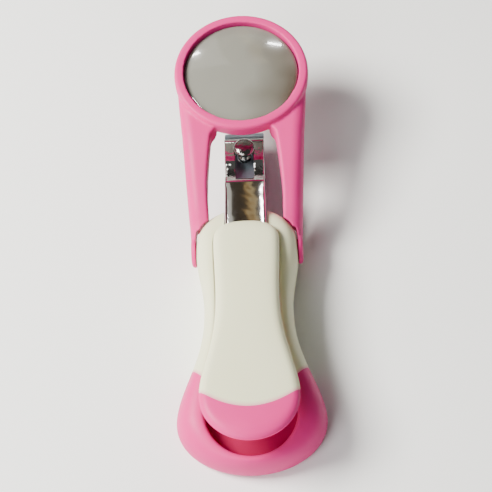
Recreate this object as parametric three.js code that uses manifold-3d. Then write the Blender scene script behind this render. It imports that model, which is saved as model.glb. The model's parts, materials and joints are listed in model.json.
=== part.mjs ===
// A lever nail clipper with a flared two-colour handle and a hinged magnifier.
// Millimetres, +Z up, +Y towards the jaws and the lens, +X to the user's right.
// The origin is on the flat underside, straight below the magnifier's hinge axis.
// It rests on its underside, with the lever raised and the magnifier down over the jaws.

import * as THREE from "three";
import { mergeVertices } from "three/addons/utils/BufferGeometryUtils.js";
import Module from "manifold-3d";

const wasm = await Module();
wasm.setup();

// ---------------------------------------------------------------- driving dimensions

// Handle outline, seen from above: half widths and where they lie along Y.
const HANDLE_FRONT_Y = 10.2;
const SHOULDER_Y = -0.5;
const SHOULDER_HALF = 12.3;
const WAIST_Y = -15.5;
const WAIST_HALF = 10.5;
const HIP_Y = -43.0;
const HIP_HALF = 17.1;
const HANDLE_TAIL_Y = -55.3;

// Handle heights: the widest contour, the rim round the lever's trough, and the trough's floor.
// The arch between the widest contour and the rim is squarer at the front than at the hip.
const WIDEST_Z = { front: 6.6, tail: 2.6 };
const ARCH_POWER = { front: 2.5, hip: 2.0 };
const RIM_Z = { front: 13.6, hip: 9.4, tail: 7.8 };
const RIM_SAG = 0.8;
const FLOOR_Z_AT_HINGE = 8.2;
const FLOOR_SLOPE = 0.068;
const TROUGH_ROOM = { front: 0.3, sides: 0.12, hip: -0.7, tail: -0.9 };
const LIP_ROUND = { front: 0.4, hip: 1.0 };
const COLOUR_SPLIT_Y = -39.8;
const COLOUR_SPLIT_BOW = 10.0;
const PART_GAP = 0.15;

// Steel clipper: two sprung leaves, the post that ties them, and the lever that squeezes them.
const LEAF_HALF = 4.9;
const LEAF_THICK = 0.9;
const LEAF_REAR_Y = -19.5;
const RIVET_Y = -15.0;
const POST_Y = 26.0;
const JAW_TIP_Y = 35.0;
const CUT_Z = 5.6;
const LEAF_SPREAD = 3.0;
const JAW_GAP = 1.3;
const POST_RADIUS = 1.7;
const POST_HEAD_RADIUS = 2.65;

// Lever, in its own frame: the origin is on its pivot bar and it runs back along -Y.
const PIVOT_Y = 28.6;
const PIVOT_Z = 12.2;
const LEVER_REST_DEG = 2.9;
const PLATE_HALF = 4.9;
const PLATE_MID_Z = 1.0;
const PLATE_THICK = 0.9;
const PLATE_DEPTH = 1.8;
const PLATE_REAR_Y = -63.0;
const CAM_Y = -9.0;
const CAM_Z = -3.4;
const WINDOW_HALF = 2.3;
const WINDOW_REAR_Y = -12.3;
const CAP_FRONT_Y = -25.2;
const CAP_HEAD_Y = -30.6;
const CAP_HEAD_HALF = 7.75;
const CAP_WAIST_Y = -45.5;
const CAP_WAIST_HALF = 7.3;
const CAP_HIP_Y = -71.5;
const CAP_HIP_HALF = 11.1;
const CAP_TAIL_Y = -82.3;
const CAP_TOP_Z = 3.0;
const CAP_BOTTOM_Z = -1.3;
const CAP_FLARE = 1.4;
const CAP_WALL = 1.2;
const CAP_SPLIT_Y = -74.9;
const CAP_SPLIT_BOW = 8.0;

// Magnifier: a ring round the lens on two arms that straddle the handle's shoulders.
const HINGE_Z = 7.0;
const RING_Y = 42.1;
const RING_Z = 22.0;
const RING_TILT_DEG = 6.0;
const RING_OUTER = 16.6;
const LENS_VISIBLE = 13.25;
const LENS_RADIUS = 14.0;
const LENS_CENTRE_THICK = 2.8;
const LENS_EDGE_THICK = 1.2;
const ARM_EYE_RADIUS = 3.7;
const ARM_EYE_OUTER_X = 13.4;
const ARM_ROOM = 0.15;
const HINGE_BOSS_RADIUS = 2.2;
const HINGE_BOSS_END_X = 11.2;
const HINGE_SOCKET_FLOOR_X = 10.6;
const HINGE_SCREW_RADIUS = 0.9;

const LEVER_SCREWS = [
  { name: "lever_screw_front", y: -37.0 },
  { name: "lever_screw_rear", y: -57.0 },
];
const COVER_THICK = 1.6;
const COVER_INSET = 1.9;
const COVER_SCREWS = [
  { name: "cover_screw_front_left", x: -7.6, y: 3.0 },
  { name: "cover_screw_front_right", x: 7.6, y: 3.0 },
  { name: "cover_screw_waist", x: 0, y: -25.5 },
  { name: "cover_screw_tail_left", x: -8.5, y: -45.0 },
  { name: "cover_screw_tail_right", x: 8.5, y: -45.0 },
];

// ---------------------------------------------------------------- materials

const finish = (color, roughness, metalness) =>
  new THREE.MeshStandardMaterial({ color, roughness, metalness });
const WHITE = finish(0xdedccf, 0.6, 0);
const PINK = finish(0xf08bb4, 0.5, 0);
const CHROME = finish(0xd5d6d8, 0.12, 1);
const STEEL = finish(0xa9abad, 0.35, 1);
const CLEAR = finish(0xd7dad4, 0.05, 0);
const RUBBER = finish(0x2d2d2f, 0.8, 0);

// ---------------------------------------------------------------- small tools

const object = new THREE.Group();
const lever = new THREE.Group();
lever.position.set(0, PIVOT_Y, PIVOT_Z);
lever.rotation.x = THREE.MathUtils.degToRad(-LEVER_REST_DEG);
object.add(lever);

// A closed geometry as a manifold-3d solid.
function solid(geometry) {
  const bare = new THREE.BufferGeometry();
  const flat = geometry.index ? geometry.toNonIndexed() : geometry;
  bare.setAttribute("position", flat.getAttribute("position").clone());
  const merged = mergeVertices(bare, 1e-4);
  return new wasm.Manifold(
    new wasm.Mesh({
      numProp: 3,
      vertProperties: merged.attributes.position.array,
      triVerts: new Uint32Array(merged.index.array),
    }),
  );
}

function addPiece(name, body, material, parent = object) {
  const { vertProperties, triVerts } = body.getMesh();
  const geometry = new THREE.BufferGeometry();
  geometry.setAttribute("position", new THREE.BufferAttribute(vertProperties, 3));
  geometry.setIndex(new THREE.BufferAttribute(triVerts, 1));
  geometry.computeVertexNormals();
  const mesh = new THREE.Mesh(geometry, material);
  mesh.name = name;
  parent.add(mesh);
}

// Skins closed rings of points, all of one count, and closes both ends with strips straight across.
function loft(rings) {
  const count = rings[0].length;
  const faces = [];
  for (let k = 0; k + 1 < rings.length; k++) {
    for (let i = 0; i < count; i++) {
      const next = (i + 1) % count;
      const [a, b] = [k * count + i, k * count + next];
      faces.push(a, b, b + count, a, b + count, a + count);
    }
  }
  const top = (rings.length - 1) * count;
  for (let i = 0; i < count / 2; i++) {
    const [a, b, c, d] = [i, i + 1, count - i - 1, (count - i) % count];
    if (i > 0) {
      faces.push(a, c, b, a, d, c);
      faces.push(top + a, top + b, top + c, top + a, top + c, top + d);
    } else {
      faces.push(a, c, b);
      faces.push(top + a, top + b, top + c);
    }
  }
  return new THREE.BufferGeometry().setFromPoints(rings.flat()).setIndex(faces);
}

const box = (x0, x1, y0, y1, z0, z1) =>
  solid(
    new THREE.BoxGeometry(x1 - x0, y1 - y0, z1 - z0).translate(
      (x0 + x1) / 2,
      (y0 + y1) / 2,
      (z0 + z1) / 2,
    ),
  );

// An outline in plan, raised from z0 to z1.
const raised = (outline, z0, z1) =>
  solid(
    new THREE.ExtrudeGeometry(new THREE.Shape(outline), {
      depth: z1 - z0,
      bevelEnabled: false,
    }).translate(0, 0, z0),
  );

// A side profile of [y, z] points, carried across X from x0 to x1.
const ACROSS = new THREE.Matrix4().makeBasis(
  new THREE.Vector3(0, 1, 0),
  new THREE.Vector3(0, 0, 1),
  new THREE.Vector3(1, 0, 0),
);
const across = (profile, x0, x1) =>
  solid(
    new THREE.ExtrudeGeometry(
      new THREE.Shape(profile.map(([y, z]) => new THREE.Vector2(y, z))),
      { depth: x1 - x0, bevelEnabled: false },
    )
      .applyMatrix4(ACROSS)
      .translate(x0, 0, 0),
  );

// A turned piece: [radius, height] points spun about +Z, then stood at x, y.
function turned(profile, x = 0, y = 0, segments = 28) {
  const points = profile.map(([r, z]) => new THREE.Vector2(r, z));
  return solid(
    new THREE.LatheGeometry(points, segments).rotateX(Math.PI / 2).translate(x, y, 0),
  );
}

// The same turned about the X axis: heights run out along X on the given side, at the hinge.
function turnedOutwards(profile, side, y = 0, z = HINGE_Z, segments = 28) {
  const points = profile.map(([r, h]) => new THREE.Vector2(r, h));
  const spun = new THREE.LatheGeometry(points, segments).rotateZ(-Math.PI / 2);
  if (side < 0) spun.rotateY(Math.PI);
  return solid(spun.translate(0, y, z));
}

const rod = (radius, x, y, z0, z1, segments = 28) =>
  turned([[0, z0], [radius, z0], [radius, z1], [0, z1]], x, y, segments);
const hingeRod = (radius, x0, x1, side) =>
  turnedOutwards([[0, x0], [radius, x0], [radius, x1], [0, x1]], side);

const smooth = (t) => t * t * (3 - 2 * t);
const clamp01 = (t) => Math.min(1, Math.max(0, t));
const mix = THREE.MathUtils.lerp;
const SWELL = 1.3;

// Half width of an hourglass outline: rounded front, waist, wider hip and rounded tail.
function hourglass(y, o) {
  const round = (y0, y1, half, power) =>
    half * Math.pow(Math.max(0, 1 - Math.pow((y - y0) / (y1 - y0), power)), 1 / power);
  if (y > o.shoulderY) return round(o.shoulderY, o.frontY, o.shoulderHalf, o.frontPower);
  if (y > o.waistY) {
    return mix(o.waistHalf, o.shoulderHalf, smooth((y - o.waistY) / (o.shoulderY - o.waistY)));
  }
  if (y > o.hipY) {
    const t = (o.waistY - y) / (o.waistY - o.hipY);
    return mix(o.waistHalf, o.hipHalf, smooth(Math.pow(t, SWELL)));
  }
  return round(o.hipY, o.tailY, o.hipHalf, 2);
}

// The closed outline as points, anticlockwise from the front, moved out by a distance.
function outlineOf(o, out = 0, count = 72) {
  const grown = {
    ...o,
    frontY: o.frontY + out,
    tailY: o.tailY - out,
    shoulderHalf: o.shoulderHalf + out,
    waistHalf: o.waistHalf + out,
    hipHalf: o.hipHalf + out,
  };
  const middle = (grown.frontY + grown.tailY) / 2;
  const half = (grown.frontY - grown.tailY) / 2;
  return Array.from({ length: count }, (_, i) => {
    const angle = (2 * Math.PI * i) / count;
    const y = middle + half * Math.cos(angle);
    return new THREE.Vector2(-Math.sign(Math.sin(angle)) * hourglass(y, grown), y);
  });
}

const HANDLE = {
  frontY: HANDLE_FRONT_Y,
  frontPower: 2.2,
  shoulderY: SHOULDER_Y,
  shoulderHalf: SHOULDER_HALF,
  waistY: WAIST_Y,
  waistHalf: WAIST_HALF,
  hipY: HIP_Y,
  hipHalf: HIP_HALF,
  tailY: HANDLE_TAIL_Y,
};
const CAP = {
  frontY: CAP_FRONT_Y,
  frontPower: 2.5,
  shoulderY: CAP_HEAD_Y,
  shoulderHalf: CAP_HEAD_HALF,
  waistY: CAP_WAIST_Y,
  waistHalf: CAP_WAIST_HALF,
  hipY: CAP_HIP_Y,
  hipHalf: CAP_HIP_HALF,
  tailY: CAP_TAIL_Y,
};
// The trough takes the cap at its head and waist, and stops it on the lip at its wide tail.
const TROUGH = {
  frontY: CAP_FRONT_Y + PIVOT_Y + TROUGH_ROOM.front,
  frontPower: 2.5,
  shoulderY: CAP_HEAD_Y + PIVOT_Y,
  shoulderHalf: CAP_HEAD_HALF + TROUGH_ROOM.sides,
  waistY: CAP_WAIST_Y + PIVOT_Y,
  waistHalf: CAP_WAIST_HALF + TROUGH_ROOM.sides,
  hipY: CAP_HIP_Y + PIVOT_Y,
  hipHalf: CAP_HIP_HALF + TROUGH_ROOM.hip,
  tailY: CAP_TAIL_Y + PIVOT_Y - TROUGH_ROOM.tail,
};

// How far along the handle a point lies, 0 at the shoulder and 1 at the hip.
const towardsHip = (y) => clamp01((SHOULDER_Y - y) / (SHOULDER_Y - HIP_Y));
const pastHip = (y) => clamp01((HIP_Y - y) / (HIP_Y - HANDLE_TAIL_Y));
const widestZ = (y) => mix(WIDEST_Z.front, WIDEST_Z.tail, smooth(towardsHip(y)));
const rimZ = (y) =>
  mix(mix(RIM_Z.front, RIM_Z.hip, towardsHip(y) ** RIM_SAG), RIM_Z.tail, smooth(pastHip(y)));
const floorZ = (y) => FLOOR_Z_AT_HINGE + FLOOR_SLOPE * y;
const lipRound = (y) => mix(LIP_ROUND.front, LIP_ROUND.hip, smooth(towardsHip(y)));
const archPower = (y) => mix(ARCH_POWER.front, ARCH_POWER.hip, smooth(clamp01(1.5 * towardsHip(y))));

// The rim: the trough's wall moved out by the lip's rounding, or by a share of it.
function rimOutline(count, share = 1) {
  const wider = outlineOf(TROUGH, 1, count);
  return outlineOf(TROUGH, 0, count).map((p, i) => p.clone().lerp(wider[i], share * lipRound(p.y)));
}

// One ring of the arch, from the widest contour at 0 up to the rim at 1.
function archRing(share, count) {
  const turn = (Math.PI / 2) * share;
  const rim = rimOutline(count);
  return outlineOf(HANDLE, 0, count).map((p, i) => {
    const power = 2 / archPower(p.y);
    const flat = p.clone().lerp(rim[i], 1 - Math.max(0, Math.cos(turn)) ** power);
    const height = mix(widestZ(flat.y), rimZ(flat.y), Math.sin(turn) ** power);
    return new THREE.Vector3(flat.x, flat.y, height);
  });
}

// ---------------------------------------------------------------- handle

// The whole moulded form, trough included, before it is split by colour and cut for its insides.
function handleForm() {
  const count = 72;
  const wall = outlineOf(TROUGH, 0, count);
  const lip = rimOutline(count, 0.3);
  const floor = outlineOf(TROUGH, -0.8, count);
  const rings = [];
  for (const [out, share] of [[-1.2, 0], [-0.35, 0.15], [-0.05, 0.55]]) {
    rings.push(
      outlineOf(HANDLE, out, count).map((p) => new THREE.Vector3(p.x, p.y, share * widestZ(p.y))),
    );
  }
  const ARCH_SHARES = [0, 0.08, 0.2, 0.35, 0.5, 0.65, 0.82, 1];
  for (const share of ARCH_SHARES) rings.push(archRing(share, count));
  rings.push(lip.map((p) => new THREE.Vector3(p.x, p.y, rimZ(p.y) - 0.3 * lipRound(p.y))));
  rings.push(wall.map((p) => new THREE.Vector3(p.x, p.y, rimZ(p.y) - lipRound(p.y))));
  rings.push(wall.map((p) => new THREE.Vector3(p.x, p.y, floorZ(p.y) + 0.8)));
  rings.push(floor.map((p) => new THREE.Vector3(p.x, p.y, floorZ(p.y))));
  return solid(loft(rings));
}

// Everything behind the line where white meets pink, which bows back in the middle.
function behind(splitY, bow, reach, shift) {
  const edge = Array.from({ length: 25 }, (_, i) => {
    const x = mix(reach, -reach, i / 24);
    return new THREE.Vector2(x, splitY + shift + bow * (x / 15) ** 2);
  });
  return [...edge, new THREE.Vector2(-reach, -100), new THREE.Vector2(reach, -100)];
}

function buildHandle() {
  const COVER_ROOM = 0.15;
  const rebate = raised(outlineOf(HANDLE, COVER_ROOM - COVER_INSET, 56), -1, COVER_THICK + 0.1);
  const SLOT_HALF = LEAF_HALF + 0.5;
  const leafSlot = box(-SLOT_HALF, SLOT_HALF, LEAF_REAR_Y - 0.5, 20, COVER_THICK, 11);
  const leverNotch = box(-PLATE_HALF - 0.3, PLATE_HALF + 0.3, 0, 20, FLOOR_Z_AT_HINGE, 20);
  const pinHole = rod(1.1, 0, RIVET_Y, 0, 20, 20);
  let whole = handleForm().subtract(rebate).subtract(leafSlot).subtract(leverNotch);
  whole = whole.subtract(pinHole);
  for (const side of [-1, 1]) {
    whole = whole
      .subtract(hingeRod(HINGE_BOSS_RADIUS + 0.15, HINGE_SOCKET_FLOOR_X, 20, side))
      .subtract(hingeRod(HINGE_SCREW_RADIUS + 0.15, 5, 12, side))
      .subtract(hingeRod(2.0, 5, 9.1, side));
  }
  for (const { x, y } of COVER_SCREWS) whole = whole.subtract(rod(0.95, x, y, 0, 3.4, 16));

  const tailRegion = (shift) =>
    raised(behind(COLOUR_SPLIT_Y, COLOUR_SPLIT_BOW, 30, shift), -5, 30);
  addPiece("handle_shell", whole.subtract(tailRegion(PART_GAP / 2)), WHITE);
  addPiece("handle_tail", whole.intersect(tailRegion(-PART_GAP / 2)), PINK);
}

function buildBottomCover() {
  let cover = raised(outlineOf(HANDLE, -COVER_INSET, 56), 0, COVER_THICK);
  const restTop = CUT_Z - LEAF_THICK - 0.1;
  const RIB = { half: 4.4, length: 1.3 };
  for (const y of [-19.2, -12.3]) {
    cover = cover.add(box(-RIB.half, RIB.half, y, y + RIB.length, COVER_THICK - 0.5, restTop - 0.35));
  }
  const pinBoss = rod(2.0, 0, RIVET_Y, COVER_THICK - 0.5, restTop - 0.8);
  cover = cover.add(pinBoss).subtract(rod(1.1, 0, RIVET_Y, 1.0, 20, 20));
  for (const { x, y } of COVER_SCREWS) {
    cover = cover.subtract(rod(0.95, x, y, -1, 3, 16)).subtract(rod(1.85, x, y, -1, 0.95, 24));
  }
  addPiece("bottom_cover", cover, PINK);
}

function buildCoverScrews() {
  for (const { name, x, y } of COVER_SCREWS) {
    const HEAD = { radius: 1.7, z0: 0.15, z1: 0.85 };
    const body = turned(
      [[0, HEAD.z0], [1.4, HEAD.z0], [HEAD.radius, 0.4], [HEAD.radius, HEAD.z1],
       [0.8, HEAD.z1], [0.8, 2.9], [0.3, 3.25], [0, 3.25]],
      x, y, 24,
    );
    const slot = box(x - 1.1, x + 1.1, y - 0.18, y + 0.18, 0, 0.5);
    const cross = box(x - 0.18, x + 0.18, y - 1.1, y + 1.1, 0, 0.5);
    addPiece(name, body.subtract(slot).subtract(cross), STEEL);
  }
}

// ---------------------------------------------------------------- steel clipper

// One leaf, drawn above the cutting plane and then mirrored for the lower one.
function leafForm() {
  const JAW_ROOT_Y = 30.4;
  const rise = (y) => (LEAF_SPREAD * (y - RIVET_Y)) / (POST_Y - RIVET_Y);
  const under = [
    [LEAF_REAR_Y, 0.06],
    [RIVET_Y + 2.0, 0.06],
    [RIVET_Y + 8.0, rise(RIVET_Y + 8.0)],
    [JAW_ROOT_Y, rise(JAW_ROOT_Y)],
    [32.0, 2.9],
    [33.4, 1.9],
    [JAW_TIP_Y, JAW_GAP / 2],
  ];
  const over = [
    [JAW_TIP_Y, JAW_GAP / 2 + 0.16],
    [34.4, 2.1],
    [33.3, 3.4],
    [31.9, rise(JAW_ROOT_Y) + LEAF_THICK - 0.1],
    [JAW_ROOT_Y - 0.8, rise(JAW_ROOT_Y) + LEAF_THICK],
    [RIVET_Y + 8.0, rise(RIVET_Y + 8.0) + LEAF_THICK],
    [RIVET_Y + 2.0, LEAF_THICK + 0.06],
    [LEAF_REAR_Y, LEAF_THICK + 0.06],
  ];
  return across([...under, ...over], -LEAF_HALF, LEAF_HALF);
}

// Plan outline of a leaf: round tail, straight sides and a bowed cutting edge.
function leafPlan() {
  const shape = new THREE.Shape();
  shape.moveTo(-LEAF_HALF, LEAF_REAR_Y + 3);
  shape.absellipse(0, LEAF_REAR_Y + 3, LEAF_HALF, 3, Math.PI, 2 * Math.PI, false);
  const CORNER_Y = JAW_TIP_Y - 1.1;
  shape.lineTo(LEAF_HALF, CORNER_Y - 1.3);
  shape.quadraticCurveTo(LEAF_HALF, CORNER_Y - 0.3, LEAF_HALF - 0.5, CORNER_Y);
  shape.quadraticCurveTo(0, JAW_TIP_Y + 1.1, -LEAF_HALF + 0.5, CORNER_Y);
  shape.quadraticCurveTo(-LEAF_HALF, CORNER_Y - 0.3, -LEAF_HALF, CORNER_Y - 1.3);
  return shape.getPoints(10);
}

function buildJaws() {
  const holes = rod(1.65, 0, RIVET_Y, -9, 30, 24).add(rod(POST_RADIUS + 0.25, 0, POST_Y, -9, 30));
  const leaf = leafForm().intersect(raised(leafPlan(), -20, 20)).subtract(holes);
  addPiece("upper_jaw", leaf.translate([0, 0, CUT_Z]), CHROME);
  addPiece("lower_jaw", leaf.mirror([0, 0, 1]).translate([0, 0, CUT_Z]), CHROME);
}

function buildRivetAndPin() {
  const grip = LEAF_THICK + 0.06;
  const [low, high] = [CUT_Z - grip - 0.1, CUT_Z + grip + 0.1];
  const eyelet = turned(
    [[1.15, low - 0.4], [2.3, low - 0.4], [2.3, low], [1.5, low], [1.5, high],
     [2.3, high], [2.3, high + 0.4], [1.15, high + 0.4], [1.15, low - 0.4]],
    0, RIVET_Y, 32,
  );
  addPiece("leaf_rivet", eyelet, STEEL);
  addPiece("clipper_retaining_pin", rod(1.0, 0, RIVET_Y, 1.1, high + 0.35, 20), STEEL);
}

function buildPost() {
  const foot = CUT_Z - LEAF_SPREAD - LEAF_THICK;
  const NECK = 1.25;
  const headUnder = PIVOT_Z + 0.78;
  const post = turned(
    [[0, foot - 1.1], [2.6, foot - 1.1], [3.0, foot - 0.8], [3.0, foot - 0.3],
     [POST_RADIUS, foot - 0.3], [POST_RADIUS, PIVOT_Z - 1.9], [NECK, PIVOT_Z - 1.5],
     [NECK, headUnder], [POST_HEAD_RADIUS, headUnder], [POST_HEAD_RADIUS, headUnder + 0.5],
     [2.0, headUnder + 1.05], [1.0, headUnder + 1.35], [0, headUnder + 1.4]],
    0, POST_Y, 32,
  );
  addPiece("jaw_post", post, CHROME);
}

// ---------------------------------------------------------------- lever

function buildLeverPlate() {
  const [top, under] = [PLATE_MID_Z + PLATE_THICK / 2, PLATE_MID_Z - PLATE_THICK / 2];
  const STRAIGHT_END_Y = -13.2;
  const EDGE = 0.8;
  const skirt = top - PLATE_DEPTH;
  const section = (half, upper, lower, edge) => [
    [-half, lower], [half, lower], [half, upper - edge], [half - edge * 0.3, upper - edge * 0.3],
    [half - edge, upper], [-half + edge, upper], [-half + edge * 0.3, upper - edge * 0.3],
    [-half, upper - edge],
  ].map(([x, z]) => new THREE.Vector3(x, 0, z));
  const channelAlong = (y0, y1, ring) =>
    solid(loft([y1, y0].map((y) => ring.map((p) => new THREE.Vector3(p.x, y, p.z)))));
  const outer = channelAlong(PLATE_REAR_Y, STRAIGHT_END_Y, section(PLATE_HALF, top, skirt, EDGE));
  const inner = channelAlong(
    PLATE_REAR_Y - 1,
    STRAIGHT_END_Y + 1,
    section(PLATE_HALF - PLATE_THICK, under, skirt - 2, 0.4),
  );
  // The head dips to the cam that bears on the upper jaw, then comes up round the post.
  const head = across(
    [
      [STRAIGHT_END_Y - 0.01, top], [STRAIGHT_END_Y - 0.01, under], [-11.3, under - 1.0],
      [CAM_Y - 0.7, CAM_Z + 0.25], [CAM_Y, CAM_Z], [CAM_Y + 0.8, CAM_Z + 0.3],
      [-6.2, -0.6], [-0.6, -0.6], [0, -0.65], [0.6, -0.35], [0.75, 0.1],
      [0.45, 0.5], [0, 0.6], [-0.6, 0.5], [-5.8, 0.5], [CAM_Y + 1.3, CAM_Z + 1.7],
      [CAM_Y, CAM_Z + 1.3], [-10.3, under - 0.6], [-11.7, top - 0.2],
    ],
    -PLATE_HALF, PLATE_HALF,
  );
  const [near, corner] = [-0.9, 0.6];
  const window = raised(
    [[-WINDOW_HALF, WINDOW_REAR_Y + corner], [-WINDOW_HALF + corner, WINDOW_REAR_Y],
     [WINDOW_HALF - corner, WINDOW_REAR_Y], [WINDOW_HALF, WINDOW_REAR_Y + corner],
     [WINDOW_HALF, near - corner], [WINDOW_HALF - corner, near],
     [-WINDOW_HALF + corner, near], [-WINDOW_HALF, near - corner]]
      .map(([x, y]) => new THREE.Vector2(x, y)),
    -10, 10,
  );
  let plate = outer.subtract(inner).add(head.subtract(window));
  for (const { y } of LEVER_SCREWS) plate = plate.subtract(rod(0.8, 0, y, -5, 5, 16));
  addPiece("lever_plate", plate, CHROME, lever);
}

// Height of the cap's crown along its length: a shallow dip under the thumb, falling at the tail.
function crownZ(y) {
  const t = clamp01((CAP_FRONT_Y - y) / (CAP_FRONT_Y - CAP_TAIL_Y));
  return CAP_TOP_Z - 0.7 * Math.sin(Math.PI * t) ** 2 - 0.5 * t ** 6;
}
const SHOULDER_DROP = 1.5;
const undersideZ = (y) => mix(CAP_BOTTOM_Z, CAP_BOTTOM_Z + 0.5, clamp01((CAP_WAIST_Y - y) / 30));

function capForm() {
  const middleY = (CAP_FRONT_Y + CAP_TAIL_Y) / 2;
  const rings = [];
  const level = (out, height, narrow = 1) =>
    rings.push(
      outlineOf(CAP, out, 64).map((p) => {
        const y = mix(middleY, p.y, 1 - 0.08 * (1 - narrow));
        return new THREE.Vector3(p.x * narrow, y, height(y));
      }),
    );
  const above = (rise) => (y) => undersideZ(y) + rise;
  const below = (drop) => (y) => crownZ(y) - drop;
  level(-CAP_FLARE, above(0));
  level(-CAP_FLARE + 0.3, above(0.3));
  level(-0.45, above(1.2));
  level(0, above(1.9));
  for (const [out, drop] of [[-0.1, 1.45], [-0.45, 0.95], [-1.0, 0.55], [-1.8, 0.28]]) {
    level(out, below(drop));
  }
  for (const [narrow, drop] of [[0.8, 0.14], [0.5, 0.04], [0.2, 0]]) {
    level(-1.8, below(drop), narrow);
  }
  return solid(loft(rings));
}

const UNDER_COVER = { z0: -1.3, z1: -0.55, inset: CAP_FLARE + CAP_WALL + 0.15 };

function buildLeverCap() {
  const hollow = raised(outlineOf(CAP, -CAP_FLARE - CAP_WALL, 48), -5, PLATE_MID_Z - 0.25);
  const SEAT = PLATE_HALF + 0.2;
  const seatTop = PLATE_MID_Z + PLATE_THICK / 2 + 0.2;
  const plateSeat = box(-SEAT, SEAT, PLATE_REAR_Y - 0.3, -20, -5, seatTop);
  let cap = capForm().subtract(hollow).subtract(plateSeat);
  for (const { y } of LEVER_SCREWS) cap = cap.subtract(rod(0.75, 0, y, -5, 2.05, 16));
  const tailRegion = (shift) => raised(behind(CAP_SPLIT_Y, CAP_SPLIT_BOW, 30, shift), -9, 9);
  addPiece("lever_cap", cap.subtract(tailRegion(PART_GAP / 2)), WHITE, lever);
  addPiece("lever_tail_pad", cap.intersect(tailRegion(-PART_GAP / 2)), PINK, lever);
}

// The plate that closes the cap from below and clamps the steel lever in it.
function buildUnderCover() {
  const { z0, z1, inset } = UNDER_COVER;
  const FRONT_Y = -28.0;
  let plate = raised(outlineOf(CAP, -inset, 48), z0, z1).intersect(box(-30, 30, -90, FRONT_Y, -9, 9));
  const CHANNEL_FLOOR = PLATE_MID_Z - PLATE_THICK / 2 - 0.15;
  const filler = box(-3.6, 3.6, PLATE_REAR_Y + 1, FRONT_Y - 1, z1 - 0.3, CHANNEL_FLOOR);
  plate = plate.add(filler);
  for (const { y } of LEVER_SCREWS) {
    plate = plate.subtract(rod(0.75, 0, y, -5, 5, 16)).subtract(rod(1.5, 0, y, -5, z0 + 0.6, 20));
  }
  addPiece("lever_under_cover", plate, PINK, lever);
}

function buildLeverScrews() {
  const under = UNDER_COVER.z0;
  for (const { name, y } of LEVER_SCREWS) {
    const body = turned(
      [[0, under + 0.05], [1.1, under + 0.05], [1.35, under + 0.2], [1.35, under + 0.5],
       [0.6, under + 0.5], [0.6, 1.8], [0, 1.8]],
      0, y, 20,
    );
    const slot = box(-0.9, 0.9, y - 0.15, y + 0.15, under, under + 0.3);
    addPiece(name, body.subtract(slot), STEEL, lever);
  }
}

// ---------------------------------------------------------------- magnifier

const ringFrame = new THREE.Matrix4()
  .makeRotationX(THREE.MathUtils.degToRad(RING_TILT_DEG))
  .setPosition(0, RING_Y, RING_Z);
const inRing = (profile, segments = 64) =>
  solid(
    new THREE.LatheGeometry(profile.map(([r, n]) => new THREE.Vector2(r, n)), segments)
      .rotateX(Math.PI / 2)
      .applyMatrix4(ringFrame),
  );

// Arm stations: place along Y, mid height, depth, and how far the faces are from the middle.
const ARM_STATIONS = [
  { y: -1.5, z: 7.0, depth: 6.9, inner: 9.0, outer: 13.4 },
  { y: 4.0, z: 8.8, depth: 6.6, inner: 9.0, outer: 13.55 },
  { y: 7.6, z: 11.0, depth: 7.0, inner: 9.0, outer: 13.8 },
  { y: 12.0, z: 13.4, depth: 6.4, inner: 9.1, outer: 14.05 },
  { y: 17.0, z: 15.8, depth: 5.9, inner: 8.8, outer: 14.35 },
  { y: 22.0, z: 17.5, depth: 5.4, inner: 8.3, outer: 14.65 },
  { y: 25.0, z: 18.3, depth: 5.1, inner: 7.9, outer: 14.85 },
  { y: 25.9, z: 18.5, depth: 5.0, inner: 7.5, outer: 14.9 },
  { y: 26.6, z: 18.65, depth: 4.9, inner: 6.9, outer: 14.95 },
  { y: 28.0, z: 18.95, depth: 4.6, inner: 6.4, outer: 15.1 },
  { y: 30.0, z: 19.4, depth: 4.3, inner: 6.8, outer: 15.25 },
  { y: 34.0, z: 20.2, depth: 3.8, inner: 10.5, outer: 15.6 },
  { y: 38.5, z: 21.0, depth: 3.4, inner: 14.6, outer: 15.9 },
];

// One arm's section: square inside, with its upper outer corner rounded right over.
function armSection({ y, z, depth, inner, outer }, side) {
  const [low, high, thick] = [z - depth / 2, z + depth / 2, outer - inner];
  const ROUND = { x: Math.min(3.0, thick * 0.8), z: depth * 0.55 };
  const SMALL = Math.min(0.5, thick * 0.3);
  const corner = (cx, cz, rx, rz, from, to, steps) =>
    Array.from({ length: steps + 1 }, (_, i) => {
      const a = mix(from, to, i / steps);
      return [cx + rx * Math.cos(a), cz + rz * Math.sin(a)];
    });
  const points = [
    ...corner(inner + SMALL, low + SMALL, SMALL, SMALL, Math.PI, 1.5 * Math.PI, 2),
    ...corner(outer - SMALL, low + SMALL, SMALL, SMALL, 1.5 * Math.PI, 2 * Math.PI, 2),
    ...corner(outer - ROUND.x, high - ROUND.z, ROUND.x, ROUND.z, 0, Math.PI / 2, 6),
    ...corner(inner + SMALL, high - SMALL, SMALL, SMALL, Math.PI / 2, Math.PI, 2),
  ];
  const ring = points.map(([x, height]) => new THREE.Vector3(side * x, y, height));
  return side > 0 ? ring : ring.reverse();
}

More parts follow.
